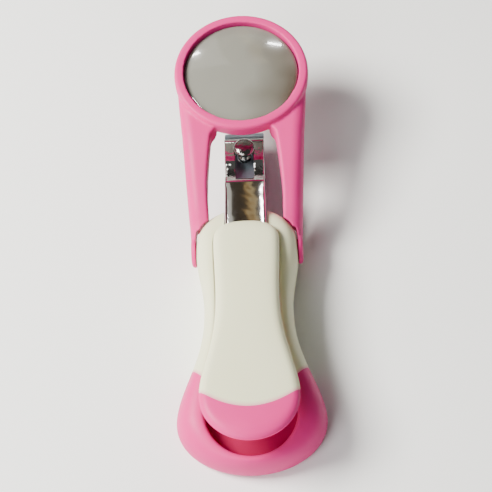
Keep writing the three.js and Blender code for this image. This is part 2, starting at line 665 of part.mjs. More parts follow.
// The shoulder's largest half width at each distance from the hinge axis, where the arms sweep past it.
function shoulderReach() {
  const BIN = 0.3;
  const EYE_REACH = ARM_EYE_RADIUS + 1.7;
  const widest = Array.from({ length: Math.ceil(REACH / BIN) + 3 }, () => 0);
  for (let step = 0; step <= 24; step++) {
    for (const p of archRing(step / 24, 288)) {
      const [out, up] = [Math.hypot(p.y, p.z - HINGE_Z), p.z - HINGE_Z];
      const bin = Math.round(out / BIN);
      const swept = p.y > 0 || (up > 0 && (out < EYE_REACH || p.y > -0.8 * up));
      if (bin < widest.length && swept) {
        widest[bin] = Math.max(widest[bin], Math.abs(p.x));
      }
    }
  }
  for (let bin = widest.length - 2; bin >= 0; bin--) {
    widest[bin] = Math.max(widest[bin], widest[bin + 1]);
  }
  return (r) => {
    const bin = Math.floor(r / BIN);
    return mix(widest[bin], widest[bin + 1], r / BIN - bin);
  };
}

// The arms' inner faces follow the shoulder, spun about the hinge axis so that they can swing.
const REACH = 8.4;
function shoulderRoom(side) {
  const reach = shoulderReach();
  const face = [[0, SHOULDER_HALF + ARM_ROOM]];
  for (let r = ARM_EYE_RADIUS; r < REACH; r += 0.55) face.push([r, reach(r) + ARM_ROOM]);
  face.push([REACH, reach(REACH) + ARM_ROOM]);
  return turnedOutwards([[0, 0], [11.5, 0], [11.5, 9.05], ...face.reverse()], side, 0, HINGE_Z, 48);
}

function armForm(side) {
  const shaft = solid(loft([...ARM_STATIONS].reverse().map((s) => armSection(s, side))));
  const eyeEnd = box(-20, 20, -20, 0, -20, 40);
  const eye = hingeRod(ARM_EYE_RADIUS, 9.5, ARM_EYE_OUTER_X, side);
  const arm = shaft.subtract(eyeEnd).add(eye).subtract(shoulderRoom(side));
  const boss = hingeRod(HINGE_BOSS_RADIUS, HINGE_BOSS_END_X, ARM_EYE_OUTER_X - 0.4, side);
  return arm.add(boss).subtract(hingeRod(HINGE_SCREW_RADIUS + 0.1, 5, 12.9, side));
}

function buildMagnifier() {
  const bead = inRing([
    [LENS_VISIBLE, -2.0], [15.8, -2.0], [16.4, -1.6], [RING_OUTER, -1.0], [RING_OUTER, 1.1],
    [16.4, 1.75], [15.95, 2.2], [15.3, 2.35], [14.6, 2.1], [14.0, 1.6], [13.5, 1.15],
    [LENS_VISIBLE, 1.05], [LENS_VISIBLE, -2.0],
  ]);
  const seat = inRing([[0, -6], [LENS_RADIUS + 0.3, -6], [LENS_RADIUS + 0.3, 0.8], [0, 0.8]]);
  const aperture = inRing([[0, -6], [LENS_VISIBLE, -6], [LENS_VISIBLE, 6], [0, 6]]);
  const frame = bead.add(armForm(1)).add(armForm(-1)).subtract(seat).subtract(aperture);
  addPiece("magnifier_frame", frame, PINK);

  const bulge = (LENS_CENTRE_THICK - LENS_EDGE_THICK) / 2;
  const half = LENS_EDGE_THICK / 2;
  const STEPS = 8;
  const face = Array.from({ length: STEPS }, (_, i) => {
    const r = (LENS_RADIUS * i) / STEPS;
    return [r, half + bulge * (1 - (r / LENS_RADIUS) ** 2)];
  });
  const under = face.map(([r, n]) => [r, -n]);
  const rimEdge = [[LENS_RADIUS, -half], [LENS_RADIUS, half]];
  addPiece("magnifier_lens", inRing([...under, ...rimEdge, ...face.reverse()]), CLEAR);

  const snap = { inner: 12.9, outer: LENS_RADIUS + 0.1, n0: -1.9, n1: -0.85 };
  addPiece(
    "lens_retaining_ring",
    inRing([
      [snap.inner, snap.n0], [snap.outer, snap.n0], [snap.outer, snap.n1],
      [snap.inner, snap.n1], [snap.inner, snap.n0],
    ]),
    PINK,
  );
}

function buildHingeHardware() {
  for (const [word, side] of [["left", -1], ["right", 1]]) {
    const screw = turnedOutwards(
      [[0, 8.1], [1.4, 8.1], [1.75, 8.35], [1.75, 9.0], [HINGE_SCREW_RADIUS, 9.0],
       [HINGE_SCREW_RADIUS, 12.7], [0, 12.7]],
      side, 0, HINGE_Z, 24,
    );
    addPiece("hinge_screw_" + word, screw, STEEL);
    const washer = turnedOutwards(
      [[1.15, 10.7], [2.1, 10.7], [2.1, 11.05], [1.15, 11.05], [1.15, 10.7]],
      side, 0, HINGE_Z, 24,
    );
    addPiece("friction_washer_" + word, washer, RUBBER);
  }
}

buildHandle();
buildBottomCover();
buildCoverScrews();
buildJaws();
buildRivetAndPin();
buildPost();
buildLeverPlate();
buildLeverCap();
buildUnderCover();
buildLeverScrews();
buildMagnifier();
buildHingeHardware();

export default object;
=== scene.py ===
# %% [markdown]
# # A lever nail clipper with a swing-up magnifier
# The real clipper is two sprung steel leaves with a post and a lever, set in a moulded two-colour
# handle. A round lens on a forked arm is hinged to the handle's shoulders. Here it lies on its flat
# underside, with the lever raised and the lens down over the jaws.
#
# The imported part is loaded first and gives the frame: +Y towards the jaws, +Z up, in metres.
# Sizes are written in millimetres and turned into metres where a mesh is made.

import json
import math

import bpy
import numpy as np
from mathutils import Matrix, Vector


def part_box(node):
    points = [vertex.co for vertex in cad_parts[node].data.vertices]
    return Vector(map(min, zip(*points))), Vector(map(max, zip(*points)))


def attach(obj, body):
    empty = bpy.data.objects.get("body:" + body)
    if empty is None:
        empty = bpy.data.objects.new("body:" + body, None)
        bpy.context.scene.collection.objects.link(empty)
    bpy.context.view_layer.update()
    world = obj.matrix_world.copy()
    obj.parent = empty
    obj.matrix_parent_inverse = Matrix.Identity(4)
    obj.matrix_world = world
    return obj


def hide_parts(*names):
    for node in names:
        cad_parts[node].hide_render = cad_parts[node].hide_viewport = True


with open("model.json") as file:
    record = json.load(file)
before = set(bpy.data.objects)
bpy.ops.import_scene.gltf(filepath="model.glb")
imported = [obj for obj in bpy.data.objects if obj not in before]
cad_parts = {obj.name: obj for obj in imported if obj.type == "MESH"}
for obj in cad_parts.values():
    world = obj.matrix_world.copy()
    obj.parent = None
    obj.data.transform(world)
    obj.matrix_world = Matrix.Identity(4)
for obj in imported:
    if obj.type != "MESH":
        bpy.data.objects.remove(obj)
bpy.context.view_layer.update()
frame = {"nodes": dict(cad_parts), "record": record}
MM = 0.001
for node in sorted(frame["nodes"]):
    low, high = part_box(node)
    print(node, [round((b - a) / MM, 1) for a, b in zip(low, high)], "mm")

# %% [markdown]
# ## Dimensions
# The handle and the lever's cap are both hourglasses seen from above: a rounded front, a shoulder, a
# waist, a wide hip and a round tail. They could be drawn as two curves by hand. One function draws
# both from a few named sizes instead, so the trough in the handle always follows the cap in it.

# %% Sizes in millimetres
HANDLE = dict(
    front=10.2, front_power=2.2, shoulder=-0.5, shoulder_half=12.3, waist=-15.5, waist_half=10.5,
    hip=-43.0, hip_half=17.1, tail=-55.3,
)
WIDEST_Z = (6.6, 2.6)
ARCH_POWER = (2.5, 2.0)
RIM_Z, RIM_SAG = (13.6, 9.4, 7.8), 0.8
FLOOR_Z, FLOOR_SLOPE = 8.2, 0.068
LIP = (0.4, 1.0)
HANDLE_SPLIT = (-39.8, 10.0)
SPLIT_HALF = 15.0

PIVOT = Vector((0, 28.6, 12.2))
LEVER_REST = math.radians(2.9)
CAP = dict(
    front=-25.2, front_power=2.5, shoulder=-30.6, shoulder_half=7.75, waist=-45.5, waist_half=7.3,
    hip=-71.5, hip_half=11.1, tail=-82.3,
)
CAP_TOP, CAP_UNDER, CAP_FLARE = 3.0, -1.3, 1.4
CAP_SPLIT = (-74.9, 8.0)
TROUGH_ROOM = dict(front=0.3, sides=0.12, hip=-0.7, tail=-0.9)
TROUGH = dict(
    front=CAP["front"] + PIVOT.y + TROUGH_ROOM["front"], front_power=CAP["front_power"],
    shoulder=CAP["shoulder"] + PIVOT.y, shoulder_half=CAP["shoulder_half"] + TROUGH_ROOM["sides"],
    waist=CAP["waist"] + PIVOT.y, waist_half=CAP["waist_half"] + TROUGH_ROOM["sides"],
    hip=CAP["hip"] + PIVOT.y, hip_half=CAP["hip_half"] + TROUGH_ROOM["hip"],
    tail=CAP["tail"] + PIVOT.y - TROUGH_ROOM["tail"],
)
HINGE_Z = 7.0
RING = dict(y=42.1, z=22.0, tilt=math.radians(6.0), middle=15.0)
LENS_RADIUS, LENS_EDGE, LENS_CENTRE = 14.0, 1.2, 2.8
LEVER_FRAME = Matrix.Translation(PIVOT) @ Matrix.Rotation(-LEVER_REST, 4, "X")
RING_FRAME = Matrix.Translation((0, RING["y"], RING["z"])) @ Matrix.Rotation(RING["tilt"], 4, "X")
print("the lever rests", round(math.degrees(LEVER_REST), 1), "degrees up from level")

# %% [markdown]
# ## Small tools
# Moulded forms like these have no flat sides, so most of them are lofted: a stack of closed rings is
# skinned from one end to the other. What is round is spun instead, and openings are booleans.

# %% Outlines
def smooth(t):
    t = min(1.0, max(0.0, t))
    return t * t * (3 - 2 * t)


def mix(a, b, t):
    return a + (b - a) * t


def hourglass(y, sizes):
    """Half width of an outline at y."""
    def rounded(y0, y1, half, power):
        share = max(0.0, 1 - abs((y - y0) / (y1 - y0)) ** power)
        return half * share ** (1 / power)

    if y > sizes["shoulder"]:
        return rounded(sizes["shoulder"], sizes["front"], sizes["shoulder_half"], sizes["front_power"])
    if y > sizes["waist"]:
        t = (y - sizes["waist"]) / (sizes["shoulder"] - sizes["waist"])
        return mix(sizes["waist_half"], sizes["shoulder_half"], smooth(t))
    if y > sizes["hip"]:
        t = (sizes["waist"] - y) / (sizes["waist"] - sizes["hip"])
        return mix(sizes["waist_half"], sizes["hip_half"], smooth(t**1.3))
    return rounded(sizes["hip"], sizes["tail"], sizes["hip_half"], 2)


def outline(sizes, out=0.0, count=288):
    """The closed outline as (x, y) rows, moved out by a distance."""
    grown = dict(sizes)
    grown["front"] += out
    grown["tail"] -= out
    for key in ("shoulder_half", "waist_half", "hip_half"):
        grown[key] += out
    middle, half = (grown["front"] + grown["tail"]) / 2, (grown["front"] - grown["tail"]) / 2
    rows = []
    for i in range(count):
        angle = 2 * math.pi * i / count
        y = middle + half * math.cos(angle)
        rows.append((-np.sign(round(math.sin(angle), 9)) * hourglass(y, grown), y))
    return np.array(rows)


def ring_at(flat, height):
    """A flat outline lifted to a height that depends on y."""
    return np.array([(x, y, height(y)) for x, y in flat])


print("the handle's outline has", len(outline(HANDLE)), "points")


# %% Meshes from outlines
def new_object(name, vertices, faces):
    """A mesh object at the origin from vertices in millimetres."""
    mesh = bpy.data.meshes.new(name)
    mesh.from_pydata([tuple(v) for v in np.asarray(vertices) * MM], [], faces)
    mesh.validate()
    obj = bpy.data.objects.new(name, mesh)
    bpy.context.scene.collection.objects.link(obj)
    return obj


def loft(name, rings, flat_ends=False):
    """Skins the rings. It closes both ends with one flat face, or with strips straight across."""
    count = len(rings[0])
    faces = []
    for k in range(len(rings) - 1):
        for i in range(count):
            a, b = k * count + i, k * count + (i + 1) % count
            faces.append((a, b, b + count, a + count))
    top = (len(rings) - 1) * count
    if flat_ends:
        faces += [tuple(range(count))[::-1], tuple(range(top, top + count))]
        return new_object(name, np.vstack(rings), faces)
    # The strips across an end run from side to side; the one at each tip is a triangle.
    for i in range(count // 2):
        a, b, c, d = i, i + 1, count - i - 1, (count - i) % count
        near = (a, d, c, b) if i else (a, c, b)
        far = (a, b, c, d) if i else (a, b, c)
        near, far = [tuple(dict.fromkeys(f)) for f in (near, far)]
        if len(near) > 2:
            faces.append(near)
            faces.append(tuple(top + v for v in far))
    return new_object(name, np.vstack(rings), faces)


def blend_rings(rings, steps=5):
    """Catmull-Rom rings between the given ones."""
    padded = [2 * rings[0] - rings[1], *rings, 2 * rings[-1] - rings[-2]]
    made = []
    for p0, p1, p2, p3 in zip(padded, padded[1:], padded[2:], padded[3:]):
        for i in range(steps):
            t = i / steps
            made.append(
                0.5 * (2 * p1 + (p2 - p0) * t + (2 * p0 - 5 * p1 + 4 * p2 - p3) * t**2
                       + (3 * p1 - p0 - 3 * p2 + p3) * t**3)
            )
    return [*made, rings[-1]]


def turned(name, profile, segments=96):
    """A profile of (radius, height) spun about Z. Points on the axis close it."""
    vertices, rows = [], []
    for radius, height in profile:
        if radius < 1e-9:
            rows.append([len(vertices)] * segments)
            vertices.append((0, 0, height))
        else:
            rows.append([len(vertices) + i for i in range(segments)])
            angles = [2 * math.pi * i / segments for i in range(segments)]
            vertices += [(radius * math.cos(a), radius * math.sin(a), height) for a in angles]
    faces = []
    for low, high in zip(rows, rows[1:]):
        for i in range(segments):
            j = (i + 1) % segments
            face = tuple(dict.fromkeys((low[i], low[j], high[j], high[i])))
            if len(face) > 2:
                faces.append(face)
    return new_object(name, vertices, faces)


def box(name, x, y, z):
    corners = [(a, b, c) for a in x for b in y for c in z]
    faces = [(0, 1, 3, 2), (4, 6, 7, 5), (0, 4, 5, 1), (2, 3, 7, 6), (0, 2, 6, 4), (1, 5, 7, 3)]
    return new_object(name, corners, faces)


def raised(name, flat, z0, z1):
    """A flat outline raised from z0 to z1, as one face above and one below."""
    count = len(flat)
    vertices = [(x, y, z) for z in (z0, z1) for x, y in flat]
    sides = [(i, (i + 1) % count, count + (i + 1) % count, count + i) for i in range(count)]
    return new_object(name, vertices, [tuple(range(count))[::-1], tuple(range(count, 2 * count)), *sides])


# %% Working on a piece
def fix_normals(obj):
    """Turns all faces outwards."""
    bpy.context.view_layer.objects.active = obj
    bpy.ops.object.mode_set(mode="EDIT")
    bpy.ops.mesh.select_all(action="SELECT")
    bpy.ops.mesh.normals_make_consistent(inside=False)
    bpy.ops.object.mode_set(mode="OBJECT")


def bake(obj):
    """Turns the object with its modifiers into plain mesh."""
    bpy.context.view_layer.update()
    done = bpy.data.meshes.new_from_object(obj.evaluated_get(bpy.context.evaluated_depsgraph_get()))
    obj.modifiers.clear()
    obj.data = done
    return obj


def move(obj, matrix):
    """Moves the mesh by a matrix written in millimetres; the object stays at the origin."""
    obj.data.transform(Matrix.Scale(MM, 4) @ matrix @ Matrix.Scale(1 / MM, 4))
    return obj


def cut(obj, other, how="DIFFERENCE"):
    """An exact boolean, which uses the other object up."""
    fix_normals(obj)
    fix_normals(other)
    step = obj.modifiers.new("cut", "BOOLEAN")
    step.operation, step.object, step.solver = how, other, "EXACT"
    bake(obj)
    bpy.data.objects.remove(other)
    return obj


def copy_of(obj, name):
    twin = obj.copy()
    twin.data = obj.data.copy()
    twin.name = name
    bpy.context.scene.collection.objects.link(twin)
    return twin


def join(obj, others):
    """Puts the others' meshes into obj, without running them into one."""
    for one in (obj, *others):
        fix_normals(one)
    with bpy.context.temp_override(active_object=obj, selected_editable_objects=[obj, *others]):
        bpy.ops.object.join()
    return obj


def mould(obj, cell, rounds):
    """Rounds every edge a little, as a mould does: an even remesh, then smoothing.
    The remesh also runs joined solids into one."""
    step = obj.modifiers.new("cells", "REMESH")
    step.mode, step.voxel_size = "VOXEL", cell * MM
    relax = obj.modifiers.new("relax", "SMOOTH")
    relax.factor, relax.iterations = 0.5, rounds
    return bake(obj)


def finish_piece(obj, material, body, nodes, sharp=35):
    """Shades the piece, gives it its finish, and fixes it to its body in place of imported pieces."""
    fix_normals(obj)
    obj.data.materials.clear()
    obj.data.materials.append(material)
    obj.data.shade_smooth()
    obj.data.set_sharp_from_angle(angle=math.radians(sharp))
    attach(obj, body)
    if nodes:
        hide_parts(*nodes)
    print(obj.name, len(obj.data.polygons), "faces,", [round(d / MM, 1) for d in obj.dimensions], "mm")
    return obj

# %% [markdown]
# ## Materials
# The real clipper has soft-touch elastomer, satin moulded plastic, polished acrylic, chrome plating,
# turned steel and a little rubber. Each could be an image laid on an unwrapped mesh. They are built
# from nodes that read Object coordinates instead: those are metres here, so a grain written in
# millimetres has its real size on every piece, and nothing has to be unwrapped.
#
# Colours are written as sRGB hex and turned into linear light by one function. The view transform
# pales strong colours, so the pinks are written deeper than they look on the finished piece.

# %% Material tools
MATH, MIX, NOISE = "ShaderNodeMath", "ShaderNodeMix", "ShaderNodeTexNoise"
SLANT = -0.35


def linear(code):
    """An sRGB hex colour as linear red, green, blue, alpha."""
    parts = [int(code[i : i + 2], 16) / 255 for i in (0, 2, 4)]
    return (*[c / 12.92 if c <= 0.04045 else ((c + 0.055) / 1.055) ** 2.4 for c in parts], 1.0)


def add_node(tree, kind, inputs=None, **settings):
    """Adds a node with its settings. Each input gets a value, or a link from the socket given."""
    node = tree.nodes.new(kind)
    for key, value in settings.items():
        setattr(node, key, value)
    for key, value in (inputs or {}).items():
        if isinstance(value, bpy.types.NodeSocket):
            tree.links.new(value, node.inputs[key])
        else:
            node.inputs[key].default_value = value
    return node


def new_material(name, finish):
    """A material whose main shader starts from the values in finish."""
    material = bpy.data.materials.new(name)
    material.use_nodes = True
    shader = material.node_tree.nodes["Principled BSDF"]
    for key, value in finish.items():
        shader.inputs[key].default_value = value
    return material, material.node_tree, shader


def object_axes(tree):
    """The place on the piece, and the same place as separate X, Y and Z."""
    place = add_node(tree, "ShaderNodeTexCoord").outputs["Object"]
    return place, add_node(tree, "ShaderNodeSeparateXYZ", {0: place}).outputs


def add_grain(tree, shader, place, grain_mm, depth_mm, strength=0.5):
    """The fine relief of a moulded, plated or soft-touch surface."""
    noise = add_node(tree, NOISE, {"Vector": place, "Scale": 1 / (grain_mm * MM), "Detail": 2.0})
    bump = add_node(
        tree, "ShaderNodeBump",
        {"Strength": strength, "Distance": depth_mm * MM, "Height": noise.outputs["Fac"]},
    )
    tree.links.new(bump.outputs["Normal"], shader.inputs["Normal"])
    return bump


def clouded(tree, place, cloud_mm, first, second):
    """Two tones of one colour that drift into each other, as a batch of plastic does."""
    cloud = add_node(tree, NOISE, {"Vector": place, "Scale": 1 / (cloud_mm * MM), "Detail": 1.0})
    return add_node(
        tree, MIX, {"Factor": cloud.outputs["Fac"], "A": first, "B": second}, data_type="RGBA"
    ).outputs["Result"]


def drift_across(tree, cloud_mm, detail, wander_mm, start_mm, reach_mm):
    """0 to 1 across a piece on a slant, along a line that wanders."""
    place, axes = object_axes(tree)
    noise = add_node(tree, NOISE, {"Vector": place, "Scale": 1 / (cloud_mm * MM), "Detail": detail})
    slant = add_node(tree, MATH, {0: axes["Y"], 1: SLANT, 2: axes["X"]}, operation="MULTIPLY_ADD")
    across = add_node(
        tree, MATH, {0: noise.outputs["Fac"], 1: wander_mm * MM, 2: slant.outputs[0]},
        operation="MULTIPLY_ADD",
    )
    start = (start_mm - wander_mm / 2) / reach_mm
    return add_node(
        tree, MATH, {0: across.outputs[0], 1: 1 / (reach_mm * MM), 2: start},
        operation="MULTIPLY_ADD", use_clamp=True,
    ).outputs[0]


def ahead_of_split(tree, axes, split, fade_mm):
    """0 at the line between the colours, rising to 1 a little way in front of it."""
    side = add_node(tree, MATH, {0: axes["X"], 1: SPLIT_HALF * MM}, operation="DIVIDE")
    square = add_node(tree, MATH, {0: side.outputs[0], 1: side.outputs[0]}, operation="MULTIPLY")
    line = add_node(
        tree, MATH, {0: square.outputs[0], 1: split[1] * MM, 2: split[0] * MM}, operation="MULTIPLY_ADD"
    )
    ahead = add_node(tree, MATH, {0: axes["Y"], 1: line.outputs[0]}, operation="SUBTRACT")
    return add_node(
        tree, MATH, {0: ahead.outputs[0], 1: fade_mm * MM}, operation="DIVIDE", use_clamp=True
    ).outputs[0]


# %% Plastics
# The deepest pink is painted shade, for the well below the lever's tail.
PINK_LIGHT, PINK_WARM, PINK_WELL_SHADE = linear("d83080"), linear("d22a7a"), linear("960a40")
WHITE_COOL, WHITE_WARM, WHITE_OVER_PINK = linear("dddcb6"), linear("e0dfbe"), linear("dc6e98")
# Where the painted shade in the well lies, and how it fades towards the well's top.
WELL_SHADE = dict(middle=-40.5, half_length=13.0, half_width=11.6, edge=1.06, sharpness=7.0, top=8.0, fade=1.6)


# A rubbery elastomer moulded thin over pink plastic. Its fine grain spreads every highlight, so it
# looks matt and a little waxy, and the pink shows through where it thins out at its edge.
def soft_white(name, split):
    material, tree, shader = new_material(name, {
        "Roughness": 0.5, "Specular IOR Level": 0.2, "Subsurface Weight": 0.08,
        "Subsurface Scale": 1.5 * MM,
    })
    place, axes = object_axes(tree)
    near = ahead_of_split(tree, axes, split, 1.3)
    thick = add_node(tree, MATH, {0: near, 1: 0.6}, operation="POWER")
    white = clouded(tree, place, 14, WHITE_COOL, WHITE_WARM)
    edged = add_node(
        tree, MIX, {"Factor": thick.outputs[0], "A": WHITE_OVER_PINK, "B": white}, data_type="RGBA"
    )
    tree.links.new(edged.outputs["Result"], shader.inputs["Base Color"])
    add_grain(tree, shader, place, 0.25, 0.006)
    return material


def painted_well_shade(tree, axes):
    """Where the painted shade goes: 1 low down inside the oval well below the lever's tail, and 0
    elsewhere.
    """
    total = 0.0
    for axis, middle, half in (
        ("Y", WELL_SHADE["middle"], WELL_SHADE["half_length"]), ("X", 0.0, WELL_SHADE["half_width"]),
    ):
        share = add_node(
            tree, MATH, {0: axes[axis], 1: 1 / (half * MM), 2: -middle / half}, operation="MULTIPLY_ADD"
        ).outputs[0]
        total = add_node(tree, MATH, {0: share, 1: share, 2: total}, operation="MULTIPLY_ADD").outputs[0]
    within = add_node(tree, MATH, {0: WELL_SHADE["edge"], 1: total}, operation="SUBTRACT")
    inside = add_node(
        tree, MATH, {0: within.outputs[0], 1: WELL_SHADE["sharpness"]}, operation="MULTIPLY", use_clamp=True
    )
    below = add_node(tree, MATH, {0: WELL_SHADE["top"] * MM, 1: axes["Z"]}, operation="SUBTRACT")
    deep = add_node(
        tree, MATH, {0: below.outputs[0], 1: WELL_SHADE["fade"] * MM}, operation="DIVIDE", use_clamp=True
    )
    return add_node(tree, MATH, {0: inside.outputs[0], 1: deep.outputs[0]}, operation="MULTIPLY").outputs[0]


# ABS moulded against a satin tool. It has a soft sheen and no sharp reflections. Light that bounces
# about in the well comes out a deep crimson, and the pink low in the well is painted deeper still, as
# painted shade.
def pink_plastic(name, well=False):
    material, tree, shader = new_material(name, {
        "Roughness": 0.45, "Specular IOR Level": 0.2, "Subsurface Weight": 0.08,
        "Subsurface Scale": 1.0 * MM,
    })
    place, axes = object_axes(tree)
    pink = clouded(tree, place, 12, PINK_LIGHT, PINK_WARM)
    if well:
        # Painted shade: the pink turns deep crimson low in the well.
        pink = add_node(
            tree, MIX, {"Factor": painted_well_shade(tree, axes), "A": pink, "B": PINK_WELL_SHADE}, data_type="RGBA"
        ).outputs["Result"]
    tree.links.new(pink, shader.inputs["Base Color"])
    add_grain(tree, shader, place, 0.35, 0.004)
    return material


handle_white = soft_white("Soft-touch elastomer over the handle", HANDLE_SPLIT)
cap_white = soft_white("Soft-touch elastomer over the lever", (CAP_SPLIT[0] + PIVOT.y + 0.1, CAP_SPLIT[1]))
pink_satin = pink_plastic("Injection-moulded pink ABS, satin")
# The tail's pink carries the painted shade in its well.
pink_tail = pink_plastic("Injection-moulded pink ABS, handle tail", well=True)
print("plastics:", handle_white.name, "|", cap_white.name, "|", pink_satin.name, "|", pink_tail.name)


# %% Lens
LENS_REFLECTION_PALE, LENS_REFLECTION_DARK = linear("8e8d84"), linear("52483a")


# Cast acrylic, polished on both faces. The hard coat keeps small lamps sharp in it. Its grey colour,
# with its slow change from pale to dark, is a painted reflection of the dim room that a real lens shows.
def cast_acrylic(name):
    material, tree, shader = new_material(name, {
        "Roughness": 0.1, "Transmission Weight": 0.3, "Coat Weight": 1.0, "Coat Roughness": 0.03,
        "IOR": 1.49,
    })
    # Painted reflection: the lens is grey, darker towards the right and towards the handle.
    shade = drift_across(tree, cloud_mm=11, detail=1.5, wander_mm=16, start_mm=12.5, reach_mm=14)
    tint = add_node(tree, MIX, {"Factor": shade, "A": LENS_REFLECTION_PALE, "B": LENS_REFLECTION_DARK}, data_type="RGBA")
    tree.links.new(tint.outputs["Result"], shader.inputs["Base Color"])
    return material


lens_clear = cast_acrylic("Polished acrylic lens")


# %% Metals and rubber
DENT_MM, DENT_DEPTH_MM = 0.9, 0.09


# Thin chrome over pressed steel. It mirrors the room, bent by the slow wave that pressing leaves.
# Ahead of worn_from the press has also dented it, which breaks the mirror into bright and dark.
def plated_chrome(name, colour, rough, wave_mm, depth_mm, worn_from=None):
    material, tree, shader = new_material(
        name, {"Metallic": 1.0, "Roughness": rough, "Base Color": linear(colour)}
    )
    place, axes = object_axes(tree)
    wave = add_grain(tree, shader, place, wave_mm, depth_mm, 1.0)
    if worn_from is not None:
        worn = add_node(
            tree, MATH, {0: axes["Y"], 1: 1 / MM, 2: -worn_from}, operation="MULTIPLY_ADD", use_clamp=True
        )
        dents = add_node(tree, NOISE, {"Vector": place, "Scale": 1 / (DENT_MM * MM), "Detail": 1.0})
        height = add_node(tree, MATH, {0: dents.outputs["Fac"], 1: worn.outputs[0]}, operation="MULTIPLY")
        bump = add_node(
            tree, "ShaderNodeBump",
            {"Strength": 1.0, "Distance": DENT_DEPTH_MM * MM, "Height": height.outputs[0],
             "Normal": wave.outputs["Normal"]},
        )
        tree.links.new(bump.outputs["Normal"], shader.inputs["Normal"])
    return material


# Plain steel from a lathe. Fine tool marks blur its reflections into a soft grey shine.
def turned_steel(name):
    material, tree, shader = new_material(
        name, {"Metallic": 1.0, "Roughness": 0.32, "Base Color": linear("b2b3b5")}
    )
    add_grain(tree, shader, object_axes(tree)[0], 0.2, 0.004)
    return material


# Nitrile rubber, stamped from sheet. It is near black, with no highlight to speak of.
def nitrile(name):
    material, tree, shader = new_material(name, {"Roughness": 0.8, "Base Color": linear("2b2b2d")})
    add_grain(tree, shader, object_axes(tree)[0], 0.3, 0.01)
    return material


lever_chrome = plated_chrome("Stamped steel, chrome plated", "b4b3af", 0.08, 6.0, 0.09, 16.5)
# The leaves' chrome is darker and blue-grey, partly the ground steel's own look and partly painted shade
# under the ring.
jaw_chrome = plated_chrome("Ground steel leaf, chrome plated", "86949f", 0.42, 1.5, 0.05)
# Painted shade: the post's chrome is coloured darker than the lever's, for the dark reflections on its
# head.
post_chrome_darkened = plated_chrome("Headed steel post, chrome plated", "7d7b77", 0.12, 0.9, 0.16)
fastener_steel = turned_steel("Turned steel fastener")
washer_rubber = nitrile("Nitrile washer")
print(len(bpy.data.materials), "materials")

# %% [markdown]
# ## Pieces kept as packed
# The leaves, rivet, pin, covers, hinge screws and washers are plain shapes that are hardly seen, and
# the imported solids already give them. They could be remodelled, but would come out the same. They
# only need the finish of the material slot that they carry.

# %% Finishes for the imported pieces
SLOT_FINISHES = {
    "white_grip": handle_white, "pink_shell": pink_satin, "chrome_steel": jaw_chrome,
    "fastener_steel": fastener_steel, "clear_acrylic": lens_clear, "friction_rubber": washer_rubber,
}
slots = {part["node"]: part["material_slot"] for part in frame["record"]["subparts"]}
for node, obj in frame["nodes"].items():
    for place in obj.material_slots:
        place.material = SLOT_FINISHES[slots[node]]
print(len(slots), "packed pieces in", len(set(slots.values())), "finishes")

# %% [markdown]
# ## The handle
# The real handle is one hollow moulding in two colours. It could be a box that is bevelled and cut,
# but its top is a low arch that changes all the way along, so it is lofted. Its rings start in the
# pocket for the bottom cover, go round the bottom edge, over the arch and down into the lever's
# trough. Booleans then part it where the colours meet, so that both pieces share that edge.

# %% Heights along the handle
def to_hip(y):
    """0 at the shoulder and 1 at the hip."""
    return min(1.0, max(0.0, (HANDLE["shoulder"] - y) / (HANDLE["shoulder"] - HANDLE["hip"])))


def past_hip(y):
    """0 at the hip and 1 at the tail's end."""
    return min(1.0, max(0.0, (HANDLE["hip"] - y) / (HANDLE["hip"] - HANDLE["tail"])))


def widest_z(y):
    return mix(*WIDEST_Z, smooth(to_hip(y)))


def rim_z(y):
    return mix(mix(RIM_Z[0], RIM_Z[1], to_hip(y) ** RIM_SAG), RIM_Z[2], smooth(past_hip(y)))


def floor_z(y):
    return FLOOR_Z + FLOOR_SLOPE * y


def lip_round(y):
    return mix(*LIP, smooth(to_hip(y)))


def arch_power(y):
    """How square the arch is. It has reached the hip's value two thirds of the way there."""
    return mix(*ARCH_POWER, smooth(1.5 * to_hip(y)))


print("rim", [round(rim_z(y), 2) for y in (0, -20, -43, -55)], "mm up at four places along")


# %% Handle form
COVER_INSET, COVER_DEPTH, BOTTOM_EDGE, TROUGH_FILLET = 1.75, 1.7, 1.2, 1.6
EDGE_STEPS, ARCH_STEPS, LIP_STEPS = 6, 30, 8


def arch_ring(share):
    """One ring of the arch, from the widest contour at 0 up to the trough's rim at 1."""
    turn, rows = math.pi / 2 * share, []
    walls = zip(outline(HANDLE), outline(TROUGH), outline(TROUGH, 1.0))
    for (x, y), (wall_x, wall_y), (wide_x, wide_y) in walls:
        rim_x, rim_y = mix(wall_x, wide_x, lip_round(wall_y)), mix(wall_y, wide_y, lip_round(wall_y))
        power = 2 / arch_power(y)
        inward = 1 - max(0.0, math.cos(turn)) ** power
        at = mix(y, rim_y, inward)
        rows.append((mix(x, rim_x, inward), at, mix(widest_z(at), rim_z(at), math.sin(turn) ** power)))
    return np.array(rows)


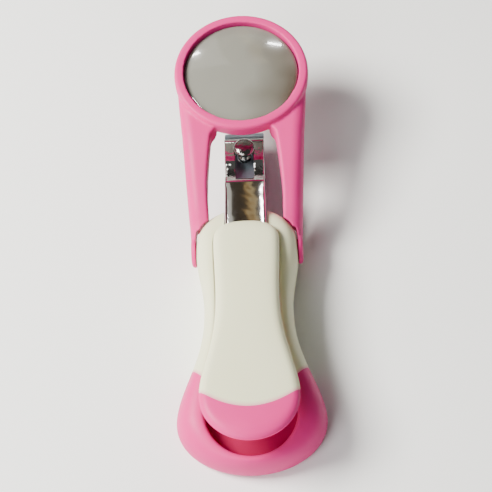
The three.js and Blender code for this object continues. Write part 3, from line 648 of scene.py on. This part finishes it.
def handle_form():
    pocket = outline(HANDLE, -COVER_INSET)
    rings = [ring_at(pocket, lambda y: COVER_DEPTH), ring_at(pocket, lambda y: 0.0)]
    for step in range(EDGE_STEPS):
        turn = math.pi / 2 * step / EDGE_STEPS
        out, share = -BOTTOM_EDGE * (1 - math.sin(turn)), 1 - math.cos(turn)
        rings.append(ring_at(outline(HANDLE, out), lambda y: share * widest_z(y)))
    rings += [arch_ring(step / ARCH_STEPS) for step in range(ARCH_STEPS + 1)]
    wall, rim = outline(TROUGH), rings[-1][:, :2]
    for step in range(1, LIP_STEPS + 1):
        turn = math.pi / 2 * step / LIP_STEPS
        flat = wall + (rim - wall) * (1 - math.sin(turn))
        rings.append(ring_at(flat, lambda y: rim_z(y) - lip_round(y) * (1 - math.cos(turn))))
    for step in range(EDGE_STEPS + 1):
        turn = math.pi / 2 * step / EDGE_STEPS
        flat = outline(TROUGH, -TROUGH_FILLET * (1 - math.cos(turn)))
        rings.append(ring_at(flat, lambda y: floor_z(y) + TROUGH_FILLET * (1 - math.sin(turn))))
    return loft("Handle form", rings)


# %% Openings and the split between the colours
REGION_HALF, REGION_END = 30, -110
SOCKET_RADIUS, SOCKET_INNER, SOCKET_OUTER = 2.35, 10.6, 20


def region_behind(split, z):
    """Everything behind the line where the colours meet, which bows back in the middle."""
    across = np.linspace(REGION_HALF, -REGION_HALF, 61)
    edge = [(x, split[0] + split[1] * (x / SPLIT_HALF) ** 2) for x in across]
    return raised("behind", [*edge, (-REGION_HALF, REGION_END), (REGION_HALF, REGION_END)], *z)


def side_rod(name, radius, x0, x1):
    """A rod along the hinge axis, from x0 to x1."""
    low, high = min(x0, x1), max(x0, x1)
    rod = turned(name, [(0, low), (radius, low), (radius, high), (0, high)], 64)
    return move(rod, about_hinge(1))


def about_hinge(side):
    """Lays a shape that was turned about Z along the hinge, pointing out to one side."""
    return Matrix.Translation((0, 0, HINGE_Z)) @ Matrix.Rotation(side * math.pi / 2, 4, "Y")


def part_colours(form, split, z, white_name, pink_name):
    """Cuts the form in two where the colours meet, into a white and a pink object."""
    white = copy_of(form, white_name)
    cut(white, region_behind(split, z))
    form.name = pink_name
    return white, cut(form, region_behind(split, z), "INTERSECT")


form = handle_form()
cut(form, box("leaf slot", (-5.4, 5.4), (-20.0, 20), (1.0, 11)))
cut(form, box("lever notch", (-5.2, 5.2), (0, 20), (8.2, 20)))
for side in (-1, 1):
    cut(form, side_rod("socket", SOCKET_RADIUS, side * SOCKET_INNER, side * SOCKET_OUTER))
grip, tail = part_colours(form, HANDLE_SPLIT, (-5, 30), "handle_white_grip", "handle_pink_tail")
finish_piece(grip, handle_white, "handle", ["handle_shell"])
finish_piece(tail, pink_tail, "handle", ["handle_tail"])

# %% [markdown]
# ## The lever's cap
# A thumb presses here, so the real cap is soft-edged, with a shallow dip along its crown and sides
# that flare under a soft shoulder. It is lofted like the handle. It is drawn in the lever's own
# frame, with its origin on the pivot bar, and only then tilted up to where the lever rests: a tilted
# shape is hard to draw, and a level one is easy.

# %% Cap
DIP, TAIL_DROP, UNDER_RISE, UNDER_RUN = 0.7, 0.5, 0.5, 30
NARROWING = 0.08
CROWN_INSET = 1.8
CAP_WALL = 1.2
# How far out and how far up from the underside, then how far out and how far down from the crown.
CAP_SIDE = ((-CAP_FLARE, 0), (-CAP_FLARE + 0.3, 0.3), (-0.45, 1.2), (0, 1.9))
CAP_EDGE = ((-0.1, 1.45), (-0.45, 0.95), (-1.0, 0.55), (-CROWN_INSET, 0.28))
# The crown's rings close in on the middle: their share of the width, and how far down they are.
CAP_CROWN = ((0.8, 0.14), (0.5, 0.04), (0.2, 0.0))


def crown(y):
    t = min(1.0, max(0.0, (CAP["front"] - y) / (CAP["front"] - CAP["tail"])))
    return CAP_TOP - DIP * math.sin(math.pi * t) ** 2 - TAIL_DROP * t**6


def under(y):
    return mix(CAP_UNDER, CAP_UNDER + UNDER_RISE, min(1.0, max(0.0, (CAP["waist"] - y) / UNDER_RUN)))


def cap_form():
    middle = (CAP["front"] + CAP["tail"]) / 2
    rings = []

    def level(out, height, narrow=1.0):
        flat = outline(CAP, out)
        flat[:, 1] = middle + (flat[:, 1] - middle) * (1 - NARROWING * (1 - narrow))
        flat[:, 0] *= narrow
        rings.append(ring_at(flat, height))

    for out, rise in CAP_SIDE:
        level(out, lambda y: under(y) + rise)
    for out, drop in CAP_EDGE:
        level(out, lambda y: crown(y) - drop)
    for narrow, drop in CAP_CROWN:
        level(-CROWN_INSET, lambda y: crown(y) - drop, narrow)
    return loft("Cap form", blend_rings(rings))


cap = cap_form()
cut(cap, raised("hollow", outline(CAP, -CAP_FLARE - CAP_WALL, 144)[::-1], -5, 0.75))
cut(cap, box("plate seat", (-5.1, 5.1), (-63.3, -20), (-5, 1.65)))
cap_grip, cap_tail = part_colours(cap, CAP_SPLIT, (-9, 9), "lever_cap_white", "lever_cap_pink_tail")
for piece, material, slot_name, node in (
    (cap_grip, cap_white, "white_grip", "lever_cap"),
    (cap_tail, pink_satin, "pink_shell", "lever_tail_pad"),
):
    move(piece, LEVER_FRAME)
    finish_piece(piece, material, "lever", [node])

# %% [markdown]
# ## The magnifier
# On the real piece the ring and its two arms are one moulding, and the lens is pressed in from below.
# The ring has the same section all the way round, so Geometry Nodes carry that section round a
# circle. The arms change along their length, so they are lofted. Booleans would leave hard creases
# where they meet, so all three are run together and rounded in one remesh, as a mould would do it.

# %% Trees of Geometry Nodes
def start_tree(name, sizes):
    """A new tree, the identifier of each named input, and the sockets that give the inputs."""
    group = bpy.data.node_groups.new(name, "GeometryNodeTree")
    group.interface.new_socket("Geometry", in_out="OUTPUT", socket_type="NodeSocketGeometry")
    ids = {}
    for label, kind in {"Geometry": "Geometry", **sizes, "Material": "Material"}.items():
        socket = group.interface.new_socket(label, in_out="INPUT", socket_type="NodeSocket" + kind)
        ids[label] = socket.identifier
    return group, ids, add_node(group, "NodeGroupInput").outputs


def end_tree(group, made, material):
    """Ends a tree in real geometry that carries its material."""
    real = add_node(group, "GeometryNodeRealizeInstances", {0: made})
    painted = add_node(group, "GeometryNodeSetMaterial", {0: real.outputs[0], "Material": material})
    add_node(group, "NodeGroupOutput", {0: painted.outputs[0]})


def grow(obj, group, ids, values):
    """Runs the tree on the object with the given inputs, and keeps the result as plain mesh."""
    step = obj.modifiers.new(group.name, "NODES")
    step.node_group = group
    for label, value in values.items():
        step[ids[label]] = value
    return bake(obj)


# %% Section carried round a circle
def ring_tree():
    group, ids, given = start_tree("Section round a circle", {"Radius": "Float", "Steps": "Int"})
    section = add_node(group, "GeometryNodeMeshToCurve", {0: given["Geometry"]})
    circle = add_node(
        group, "GeometryNodeCurvePrimitiveCircle",
        {"Resolution": given["Steps"], "Radius": given["Radius"]}, mode="RADIUS",
    )
    upright = add_node(group, "GeometryNodeSetCurveNormal", {0: circle.outputs["Curve"]}, mode="Z_UP")
    swept = add_node(group, "GeometryNodeCurveToMesh", {0: upright.outputs[0], 1: section.outputs[0]})
    end_tree(group, swept.outputs[0], given["Material"])
    return group, ids


def carried_round(name, section, radius, material, steps=160):
    count = len(section)
    obj = new_object(name, [(r - radius, n, 0) for r, n in section], [])
    obj.data.edges.add(count)
    obj.data.edges.foreach_set("vertices", [v for i in range(count) for v in (i, (i + 1) % count)])
    return grow(obj, *ring_tree(), {"Radius": radius * MM, "Steps": steps, "Material": material})


# The section as (radius, height): flat below, rounded outside and on top, with a seat for the lens.
RING_SECTION = [
    (14.3, -2.0), (15.8, -2.0), (16.2, -1.9), (16.45, -1.55), (16.6, -1.0), (16.6, 0.1), (16.6, 1.1),
    (16.5, 1.55), (16.25, 1.95), (15.85, 2.25), (15.3, 2.35), (14.8, 2.22), (14.3, 1.9), (13.9, 1.5),
    (13.5, 1.15), (13.25, 1.05), (13.25, 0.8), (14.3, 0.8),
]
ring = carried_round("magnifier_ring_and_arms", RING_SECTION, RING["middle"], pink_satin)
print("ring", [round(d / MM, 2) for d in ring.dimensions], "mm")


# %% Arms
# Stations along an arm: y, middle height, depth, and how far its inner and outer faces are from the middle.
ARM = [
    (-1.5, 7.0, 6.9, 9.0, 13.4), (4.0, 8.8, 6.6, 9.0, 13.55), (7.6, 11.0, 7.0, 9.0, 13.8),
    (12.0, 13.4, 6.4, 9.1, 14.05), (17.0, 15.8, 5.9, 8.8, 14.35), (22.0, 17.5, 5.4, 8.3, 14.65),
    (25.0, 18.3, 5.1, 7.9, 14.85), (25.9, 18.5, 5.0, 7.5, 14.9), (26.6, 18.65, 4.9, 6.9, 14.95),
    (28.0, 18.95, 4.6, 6.4, 15.1), (30.0, 19.4, 4.3, 6.8, 15.25), (34.0, 20.2, 3.8, 10.5, 15.6),
    (38.5, 21.0, 3.4, 14.6, 15.9),
]
# An arm's outer top edge is a wide round, up to these shares of its thickness and depth.
WIDE_ROUND, WIDE_SHARE, DEPTH_SHARE = 3.0, 0.8, 0.55
SMALL_ROUND, SMALL_SHARE = 0.6, 0.3


def arm_ring(station, side):
    y, z, depth, inner, outer = station
    low, high, thick = z - depth / 2, z + depth / 2, outer - inner
    over = (min(WIDE_ROUND, thick * WIDE_SHARE), depth * DEPTH_SHARE)
    small = min(SMALL_ROUND, thick * SMALL_SHARE)

    def corner(cx, cz, rx, rz, first, last, steps):
        turns = np.linspace(first, last, steps + 1)
        return [(cx + rx * math.cos(t), cz + rz * math.sin(t)) for t in turns]

    points = [
        *corner(inner + small, low + small, small, small, math.pi, 1.5 * math.pi, 4),
        *corner(outer - small, low + small, small, small, 1.5 * math.pi, 2 * math.pi, 4),
        *corner(outer - over[0], high - over[1], *over, 0, math.pi / 2, 12),
        *corner(inner + small, high - small, small, small, math.pi / 2, math.pi, 4),
    ]
    ring = np.array([(side * x, y, height) for x, height in points])
    return ring if side > 0 else ring[::-1]


# %% [markdown]
# The arms' ends lie flat against the handle's shoulders and turn past them. Their inner faces could
# be fitted by eye. Instead the shoulder's widest point is found at each distance from the hinge, in
# the part that the arms sweep, and that outline is spun about the hinge and cut out of each arm. The
# arm then clears the shoulder at every angle, and sits as close to it as it can.

# %% Room for the shoulders
ARM_ROOM, EYE_RADIUS, EYE_INNER, EYE_OUTER, EYE_ROUND = 0.15, 3.7, 9.5, 13.4, 0.8
REACH, BIN = 8.4, 0.3
PAST_EYE, HEEL_SLOPE = 1.7, -0.8
ROOM_RADIUS, ROOM_INNER = 11.5, 9.05


def shoulder_reach():
    """The shoulder's largest half width at each distance from the hinge axis, where the arms pass."""
    widest = np.zeros(math.ceil(REACH / BIN) + 3)
    for x, y, z in np.vstack([arch_ring(step / 24) for step in range(25)]):
        out, up = math.hypot(y, z - HINGE_Z), z - HINGE_Z
        swept = y > 0 or (up > 0 and (out < EYE_RADIUS + PAST_EYE or y > HEEL_SLOPE * up))
        if swept and round(out / BIN) < len(widest):
            widest[round(out / BIN)] = max(widest[round(out / BIN)], abs(x))
    return np.maximum.accumulate(widest[::-1])[::-1]


REACHES = shoulder_reach()
print("the shoulder reaches", round(float(REACHES[0]), 2), "mm out at the hinge")


def shoulder_room(side):
    """The shoulder spun about the hinge axis, with running room."""
    face = [(0, HANDLE["shoulder_half"] + ARM_ROOM)]
    for r in np.linspace(EYE_RADIUS, REACH, 12):
        face.append((r, float(np.interp(r / BIN, np.arange(len(REACHES)), REACHES)) + ARM_ROOM))
    within = [(0, 0), (ROOM_RADIUS, 0), (ROOM_RADIUS, ROOM_INNER)]
    return move(turned("shoulder room", [*within, *face[::-1]], 96), about_hinge(side))


def arm_eye(side):
    """The disc at an arm's end, with its outer edge rounded."""
    edge = [
        (EYE_RADIUS - EYE_ROUND * (1 - math.cos(t)), EYE_OUTER - EYE_ROUND * (1 - math.sin(t)))
        for t in np.linspace(0, math.pi / 2, 7)
    ]
    disc = turned("eye", [(0, EYE_INNER), (EYE_RADIUS, EYE_INNER), *edge, (0, EYE_OUTER)], 96)
    return move(disc, about_hinge(side))


# %% Ring and arms as one moulding
BOSS_RADIUS, BOSS_END, BOSS_ROOT = 2.2, 11.2, EYE_OUTER - 0.4
# The arms stop where the ring begins, below and above the level of the lens.
BELOW_LENS, ABOVE_LENS, LEVEL, PAST = 14.9, 13.9, 0.6, 9
OPENING = [
    (0, -PAST), (BELOW_LENS, -PAST), (BELOW_LENS, LEVEL), (ABOVE_LENS, LEVEL), (ABOVE_LENS, PAST),
    (0, PAST),
]
CELL, ROUNDS = 0.22, 8

move(ring, RING_FRAME)
arms = []
for side in (-1, 1):
    arm = loft("arm", blend_rings([arm_ring(s, side) for s in ARM[::-1]]), flat_ends=True)
    cut(arm, box("behind the eye", (-20, 20), (-20, 0), (-20, 40)))
    cut(arm, arm_eye(side), "UNION")
    cut(arm, shoulder_room(side))
    cut(arm, side_rod("boss", BOSS_RADIUS, side * BOSS_END, side * BOSS_ROOT), "UNION")
    cut(arm, move(turned("opening", OPENING, 120), RING_FRAME))
    arms.append(arm)
join(ring, arms)
mould(ring, CELL, ROUNDS)
finish_piece(ring, pink_satin, "magnifier", ["magnifier_frame"], sharp=60)

# %% [markdown]
# The lens is a shallow double-domed disc, thin at its edge and thick in the middle, which is what
# makes it magnify. A profile is spun about its axis, with the dome as a formula, so that reflections
# slide over it without a ripple. A plain ring holds it from below.

# %% Lens and the ring that holds it
bulge, half = (LENS_CENTRE - LENS_EDGE) / 2, LENS_EDGE / 2
face = [(r, half + bulge * (1 - (r / LENS_RADIUS) ** 2)) for r in np.linspace(0, LENS_RADIUS - 0.1, 24)]
edge = [(LENS_RADIUS, -half + 0.08), (LENS_RADIUS, half - 0.08)]
lens = turned("lens", [*[(r, -n) for r, n in face], *edge, *face[::-1]], 160)
holder = turned(
    "lens_holder",
    [(12.9, -1.9), (14.1, -1.9), (14.1, -0.85), (13.2, -0.85), (12.9, -1.1), (12.9, -1.9)], 160,
)
move(lens, RING_FRAME)
move(holder, RING_FRAME)
finish_piece(lens, lens_clear, "magnifier", ["magnifier_lens"], sharp=50)
finish_piece(holder, pink_satin, "magnifier", ["lens_retaining_ring"])

# %% [markdown]
# ## The steel lever
# The real lever is stamped from a strip of steel and bent. Behind the bend it has two flanges, which
# make it a stiff channel; at the head it is flat, with a window for the post. Modelling each face by
# hand would lose the even thickness that gives away bent steel. A section is carried along the bent
# path instead, and its flanges fade out before the bend.

# %% Lever strip
PLATE_HALF, PLATE_THICK, FLANGE, CROWN = 4.9, 0.9, 1.8, 0.12
# The path as (y, height), from the tail's end over the bend to the head.
PATH = [
    (-63.0, 1.0), (-13.4, 1.0), (-11.2, 0.35), (-9.2, -2.85), (-8.5, -2.85), (-6.4, -0.05), (0.35, -0.05),
]
BEND, BEND_EASE, BEND_LIMIT = 0.9, 0.25, 0.45
FLAT_FROM, FADE, STATION_GAP = -13.6, 1.2, 1.5
EDGE_ROUND = (0.65, 0.35)


def rounded_path(points, bend, steps=7):
    """The path with each corner turned into a curve, as (y, z) rows."""
    rows = [np.array(points[0], float)]
    for before, here, after in zip(points, points[1:], points[2:]):
        b, h, a = (np.array(p, float) for p in (before, here, after))
        back, ahead = np.linalg.norm(h - b), np.linalg.norm(a - h)
        into, out = (h - b) / back, (a - h) / ahead
        angle = math.acos(max(-1.0, min(1.0, float(into @ out))))
        wanted = bend * math.tan(angle / 2) + BEND_EASE
        reach = min(wanted, BEND_LIMIT * back, BEND_LIMIT * ahead)
        start, end = h - into * reach, h + out * reach
        for i in range(steps + 1):
            t = i / steps
            rows.append((1 - t) ** 2 * start + 2 * t * (1 - t) * h + t**2 * end)
    return np.array([*rows, np.array(points[-1], float)])


def strip_section(flange, edge):
    """Right half then left half of a channel's section, from the top's middle round to the underside's."""
    top, under, low = PLATE_THICK / 2, -PLATE_THICK / 2, PLATE_THICK / 2 - flange
    right = [(share * (PLATE_HALF - edge), top - CROWN * share**2) for share in (0, 0.25, 0.5, 0.75, 1)]
    drop = min(edge, flange - 0.3)
    for turn in np.linspace(math.pi / 2, 0, 7)[1:]:
        right.append((PLATE_HALF - edge + edge * math.cos(turn), top - CROWN - drop * (1 - math.sin(turn))))
    right += [(PLATE_HALF, low + 0.02), (PLATE_HALF - 0.1, low), (PLATE_HALF - 0.7, low)]
    right += [(PLATE_HALF - PLATE_THICK, min(under, low + 0.1)), (PLATE_HALF - PLATE_THICK - 0.3, under)]
    left = [(-x, z) for x, z in right[::-1] if x > 0]
    return [*right, (0, under), *left]


def lever_strip():
    path = rounded_path(PATH, BEND)
    stations = []
    for a, b in zip(path, path[1:]):
        parts = max(1, int(np.linalg.norm(b - a) / STATION_GAP))
        stations += [a + (b - a) * i / parts for i in range(parts)]
    stations.append(path[-1])
    rings = []
    for i, here in enumerate(stations):
        before, after = stations[max(0, i - 1)], stations[min(len(stations) - 1, i + 1)]
        along = (after - before) / np.linalg.norm(after - before)
        up = np.array([-along[1], along[0]])
        flat = smooth((here[0] - FLAT_FROM + FADE) / FADE)
        section = strip_section(mix(FLANGE, PLATE_THICK, flat), mix(*EDGE_ROUND, flat))
        rings.append(np.array([(x, *(here + up * z)) for x, z in section]))
    return loft("steel_lever", rings, flat_ends=True)


# %% Window, pivot bar and edges
WINDOW = dict(half=2.3, y0=-12.3, y1=-0.9, radius=0.6)
BAR_RADIUS = 0.6
EDGE_BREAK, EDGE_ANGLE = 0.12, math.radians(40)


def rounded_rectangle(half, y0, y1, radius, steps=6):
    middles = [
        (half - radius, y1 - radius, 0), (-half + radius, y1 - radius, 1),
        (-half + radius, y0 + radius, 2), (half - radius, y0 + radius, 3),
    ]
    return [
        (cx + radius * math.cos(math.pi / 2 * (quarter + i / steps)),
         cy + radius * math.sin(math.pi / 2 * (quarter + i / steps)))
        for cx, cy, quarter in middles for i in range(steps + 1)
    ]


plate = lever_strip()
cut(plate, raised("window", rounded_rectangle(**WINDOW), -8, 8))
rod = [(0, -PLATE_HALF), (BAR_RADIUS, -PLATE_HALF), (BAR_RADIUS, PLATE_HALF), (0, PLATE_HALF)]
cut(plate, move(turned("pivot bar", rod, 40), Matrix.Rotation(math.pi / 2, 4, "Y")), "UNION")
bevel = plate.modifiers.new("bevel", "BEVEL")
bevel.width, bevel.segments = EDGE_BREAK * MM, 3
bevel.limit_method, bevel.angle_limit = "ANGLE", EDGE_ANGLE
bake(plate)
move(plate, LEVER_FRAME)
finish_piece(plate, lever_chrome, "lever", ["lever_plate"], sharp=30)

# %% [markdown]
# The post runs up through both leaves and the window, and its domed head holds the lever down. It is
# a turned part on the real clipper, so it is a turned part here: one profile, spun about its axis.

# %% Post
POST_Y, FOOT, HEAD = 26.0, 1.7, PIVOT.z + 0.78
SHANK, NECK, HEAD_RADIUS, DOME = 1.7, 1.25, 2.65, 1.05
dome = [
    (HEAD_RADIUS * math.cos(t), HEAD + 0.35 + DOME * math.sin(t)) for t in np.linspace(0, math.pi / 2, 14)
]
post = turned("post_with_head", [
    (0, FOOT - 1.1), (2.6, FOOT - 1.1), (2.9, FOOT - 1.0), (3.0, FOOT - 0.8), (3.0, FOOT - 0.3),
    (SHANK, FOOT - 0.3), (SHANK, PIVOT.z - 1.9), (NECK, PIVOT.z - 1.5), (NECK, HEAD),
    (HEAD_RADIUS - 0.15, HEAD), (HEAD_RADIUS, HEAD + 0.15), *dome[:-1], (0, HEAD + 0.35 + DOME),
], 72)
move(post, Matrix.Translation((0, POST_Y, 0)))
finish_piece(post, post_chrome_darkened, "handle", ["jaw_post"])

# %% [markdown]
# ## Screws
# Seven screws close the real clipper from below, and no two of them stop at the same angle. They
# could be copied and turned by hand. One screw is made instead, and Geometry Nodes set it at each
# hole with a random turn, so a screw can be moved or added by changing one point.

# %% Screws at points
def screw_tree():
    group, ids, given = start_tree("Screws at holes", {"Screw": "Object", "Seed": "Int"})
    points = add_node(group, "GeometryNodeMeshToPoints", {0: given["Geometry"]})
    screw = add_node(group, "GeometryNodeObjectInfo", {0: given["Screw"]})
    turn = add_node(
        group, "FunctionNodeRandomValue",
        {"Max": (0, 0, 2 * math.pi), "Min": (0, 0, 0), "Seed": given["Seed"]}, data_type="FLOAT_VECTOR",
    )
    placed = add_node(
        group, "GeometryNodeInstanceOnPoints",
        {0: points.outputs[0], "Instance": screw.outputs["Geometry"], "Rotation": turn.outputs[0]},
    )
    end_tree(group, placed.outputs[0], given["Material"])
    return group, ids


def screws_at(name, places, screw, seed):
    """The screw at each place, each with its own turn. The seed fixes the turns."""
    obj = new_object(name, places, [])
    grow(obj, *screw_tree(), {"Screw": screw, "Seed": seed, "Material": fastener_steel})
    bpy.data.objects.remove(screw)
    return obj


# %% One screw
HEAD_HEIGHT, RECESS_DEPTH, RECESS_HALF_SLOT, TIP = 0.7, 0.4, 0.18, 0.2


def one_screw(under, head, shank, length, recess):
    """A pan head with a cross recess, head down, and a plain shank."""
    body = turned("screw", [
        (0, under), (head - 0.35, under), (head - 0.1, under + 0.1), (head, under + 0.3),
        (head, under + HEAD_HEIGHT), (shank, under + HEAD_HEIGHT), (shank, under + length),
        (0, under + length + TIP),
    ], 48)
    for x, y in ((recess, RECESS_HALF_SLOT), (RECESS_HALF_SLOT, recess)):
        cut(body, box("cross", (-x, x), (-y, y), (under - 1, under + RECESS_DEPTH)))
    return body


COVER_SCREWS = [(-7.6, 3.0, 0), (7.6, 3.0, 0), (0, -25.5, 0), (-8.5, -45.0, 0), (8.5, -45.0, 0)]
CAP_SCREWS = [(0, -37.0, 0), (0, -57.0, 0)]
cover_screws = screws_at("bottom_cover_screws", COVER_SCREWS, one_screw(0.15, 1.7, 0.8, 2.8, 1.0), 7)
finish_piece(
    cover_screws, fastener_steel, "handle",
    ["cover_screw_front_left", "cover_screw_front_right", "cover_screw_waist",
     "cover_screw_tail_left", "cover_screw_tail_right"],
)
lever_screws = screws_at("lever_cap_screws", CAP_SCREWS, one_screw(-1.25, 1.35, 0.6, 2.85, 0.8), 3)
move(lever_screws, LEVER_FRAME)
finish_piece(
    lever_screws, fastener_steel, "lever", ["lever_screw_front", "lever_screw_rear"]
)

# %% [markdown]
# ## Camera and floor
# The camera looks down from the tail's side, turned a little, with a long lens so that the clipper
# keeps its proportions. It could be aimed by a constraint. Its three axes are worked out from the
# angles instead, so that it stays put whatever the pieces do.

# %% Camera
CAMERA = dict(
    distance=320.0, elevation=58.1, azimuth=2.62, roll=4.5, target=(0, 3.5, 8.0), lens=96.9,
    shift=(-0.0017, -0.0200), sensor=36, near=0.01, far=10,
)
elevation, azimuth, roll = (math.radians(CAMERA[k]) for k in ("elevation", "azimuth", "roll"))
back = Vector((
    math.sin(azimuth) * math.cos(elevation), -math.cos(azimuth) * math.cos(elevation), math.sin(elevation),
))
level = Vector((math.cos(azimuth), math.sin(azimuth), 0))
upward = back.cross(level)
right = level * math.cos(roll) - upward * math.sin(roll)
camera = bpy.data.objects.new("Camera", bpy.data.cameras.new("Camera"))
bpy.context.scene.collection.objects.link(camera)
camera.data.lens, camera.data.sensor_width = CAMERA["lens"], CAMERA["sensor"]
camera.data.shift_x, camera.data.shift_y = CAMERA["shift"]
camera.data.clip_start, camera.data.clip_end = CAMERA["near"], CAMERA["far"]
turn = Matrix((right, back.cross(right), back)).transposed().to_4x4()
camera.matrix_world = Matrix.Translation((Vector(CAMERA["target"]) + back * CAMERA["distance"]) * MM) @ turn
bpy.context.scene.camera = camera
print("camera at", [round(v / MM) for v in camera.matrix_world.translation], "mm")

# %% Floor
FLOOR_HALF, FLOOR_TOP, FLOOR_UNDER = 1500, -0.02, -1.0
floor = box("Floor", (-FLOOR_HALF, FLOOR_HALF), (-FLOOR_HALF, FLOOR_HALF), (FLOOR_UNDER, FLOOR_TOP))
paper = new_material("White paper", {"Roughness": 0.9, "Base Color": linear("f7f7f6")})[0]
floor.data.materials.append(paper)

# %% [markdown]
# ## Light
# A large soft light stands to the left and models the form, and a weaker one fills from the left of
# the tail, so that the right-hand flanks stay in shade. Two small strips beyond the jaws put the
# bright arcs in the lens. Chrome only shows what stands around it, so a banded card is set where the
# steel sees it: painting the bands on the steel would look wrong as soon as the piece moved.

# %% Lights
AIM = Vector((0, 0, 8))
# Name, place and size in millimetres, power in watts, and colour.
LIGHTS = [
    ("Key", (-440, 40, 470), (260, 260), 12.5, "fffdf6"),
    ("Fill", (-270, -370, 330), (320, 320), 2.6, "ffffff"),
    ("Left strip", (-113, 322, 425), (24, 7), 0.05, "ffffff"),
    ("Right strip", (64, 338, 422), (30, 7), 0.06, "ffffff"),
]


def soft_light(name, place, size, watts, colour):
    lamp = bpy.data.lights.new(name, "AREA")
    lamp.shape, lamp.size, lamp.size_y = "RECTANGLE", size[0] * MM, size[1] * MM
    lamp.energy, lamp.color = watts, linear(colour)[:3]
    obj = bpy.data.objects.new(name, lamp)
    bpy.context.scene.collection.objects.link(obj)
    obj.location = Vector(place) * MM
    obj.rotation_euler = (AIM * MM - obj.location).to_track_quat("-Z", "Y").to_euler()


for light in LIGHTS:
    soft_light(*light)
print(len(LIGHTS), "lights")

# %% Warm card
CARD = dict(half=(230, 85), place=(0, 446, 566), faces=(0, 15, 14))
CARD_ENDS = ("f4f2ea", "f0eadc")
CARD_BANDS = [
    (0.12, "f4f2ea"), (0.17, "241c10"), (0.45, "2c2414"), (0.53, "c8a264"), (0.6, "e6cf9c"),
    (0.66, "2c1e12"), (0.9, "241810"), (0.97, "f0eadc"),
]


def card_bands(tree, shader):
    """Light and dark bands across the card, with soft wandering edges."""
    share = drift_across(tree, cloud_mm=60, detail=2.0, wander_mm=70, start_mm=115, reach_mm=230)
    ramp = add_node(tree, "ShaderNodeValToRGB", {0: share})
    bands = ramp.color_ramp.elements
    for end, colour in zip(bands, CARD_ENDS):
        end.color = linear(colour)
    for at, colour in CARD_BANDS:
        bands.new(at).color = linear(colour)
    tree.links.new(ramp.outputs["Color"], shader.inputs["Emission Color"])


half_wide, half_tall = CARD["half"]
card = box("Warm card", (-half_wide, half_wide), (-half_tall, half_tall), (-2, 0))
card.location = Vector(CARD["place"]) * MM
card.rotation_euler = (Vector(CARD["faces"]) * MM - card.location).to_track_quat("Z", "Y").to_euler()
# The card glows with its banded colour though it is no lamp, so the chrome shows bands of painted
# reflection.
brown, brown_tree, brown_shader = new_material(
    "Brown card", {"Roughness": 0.9, "Base Color": linear("2a2018"), "Emission Strength": 1.0}
)
card_bands(brown_tree, brown_shader)
card.data.materials.append(brown)

# %% Room light
ROOM_COLOUR, ROOM_STRENGTH = linear("f2f2f0"), 0.15
world = bpy.data.worlds.new("Studio")
bpy.context.scene.world = world
world.use_nodes = True
room = world.node_tree.nodes["Background"]
room.inputs["Color"].default_value = ROOM_COLOUR
room.inputs["Strength"].default_value = ROOM_STRENGTH
print("room light", ROOM_STRENGTH)
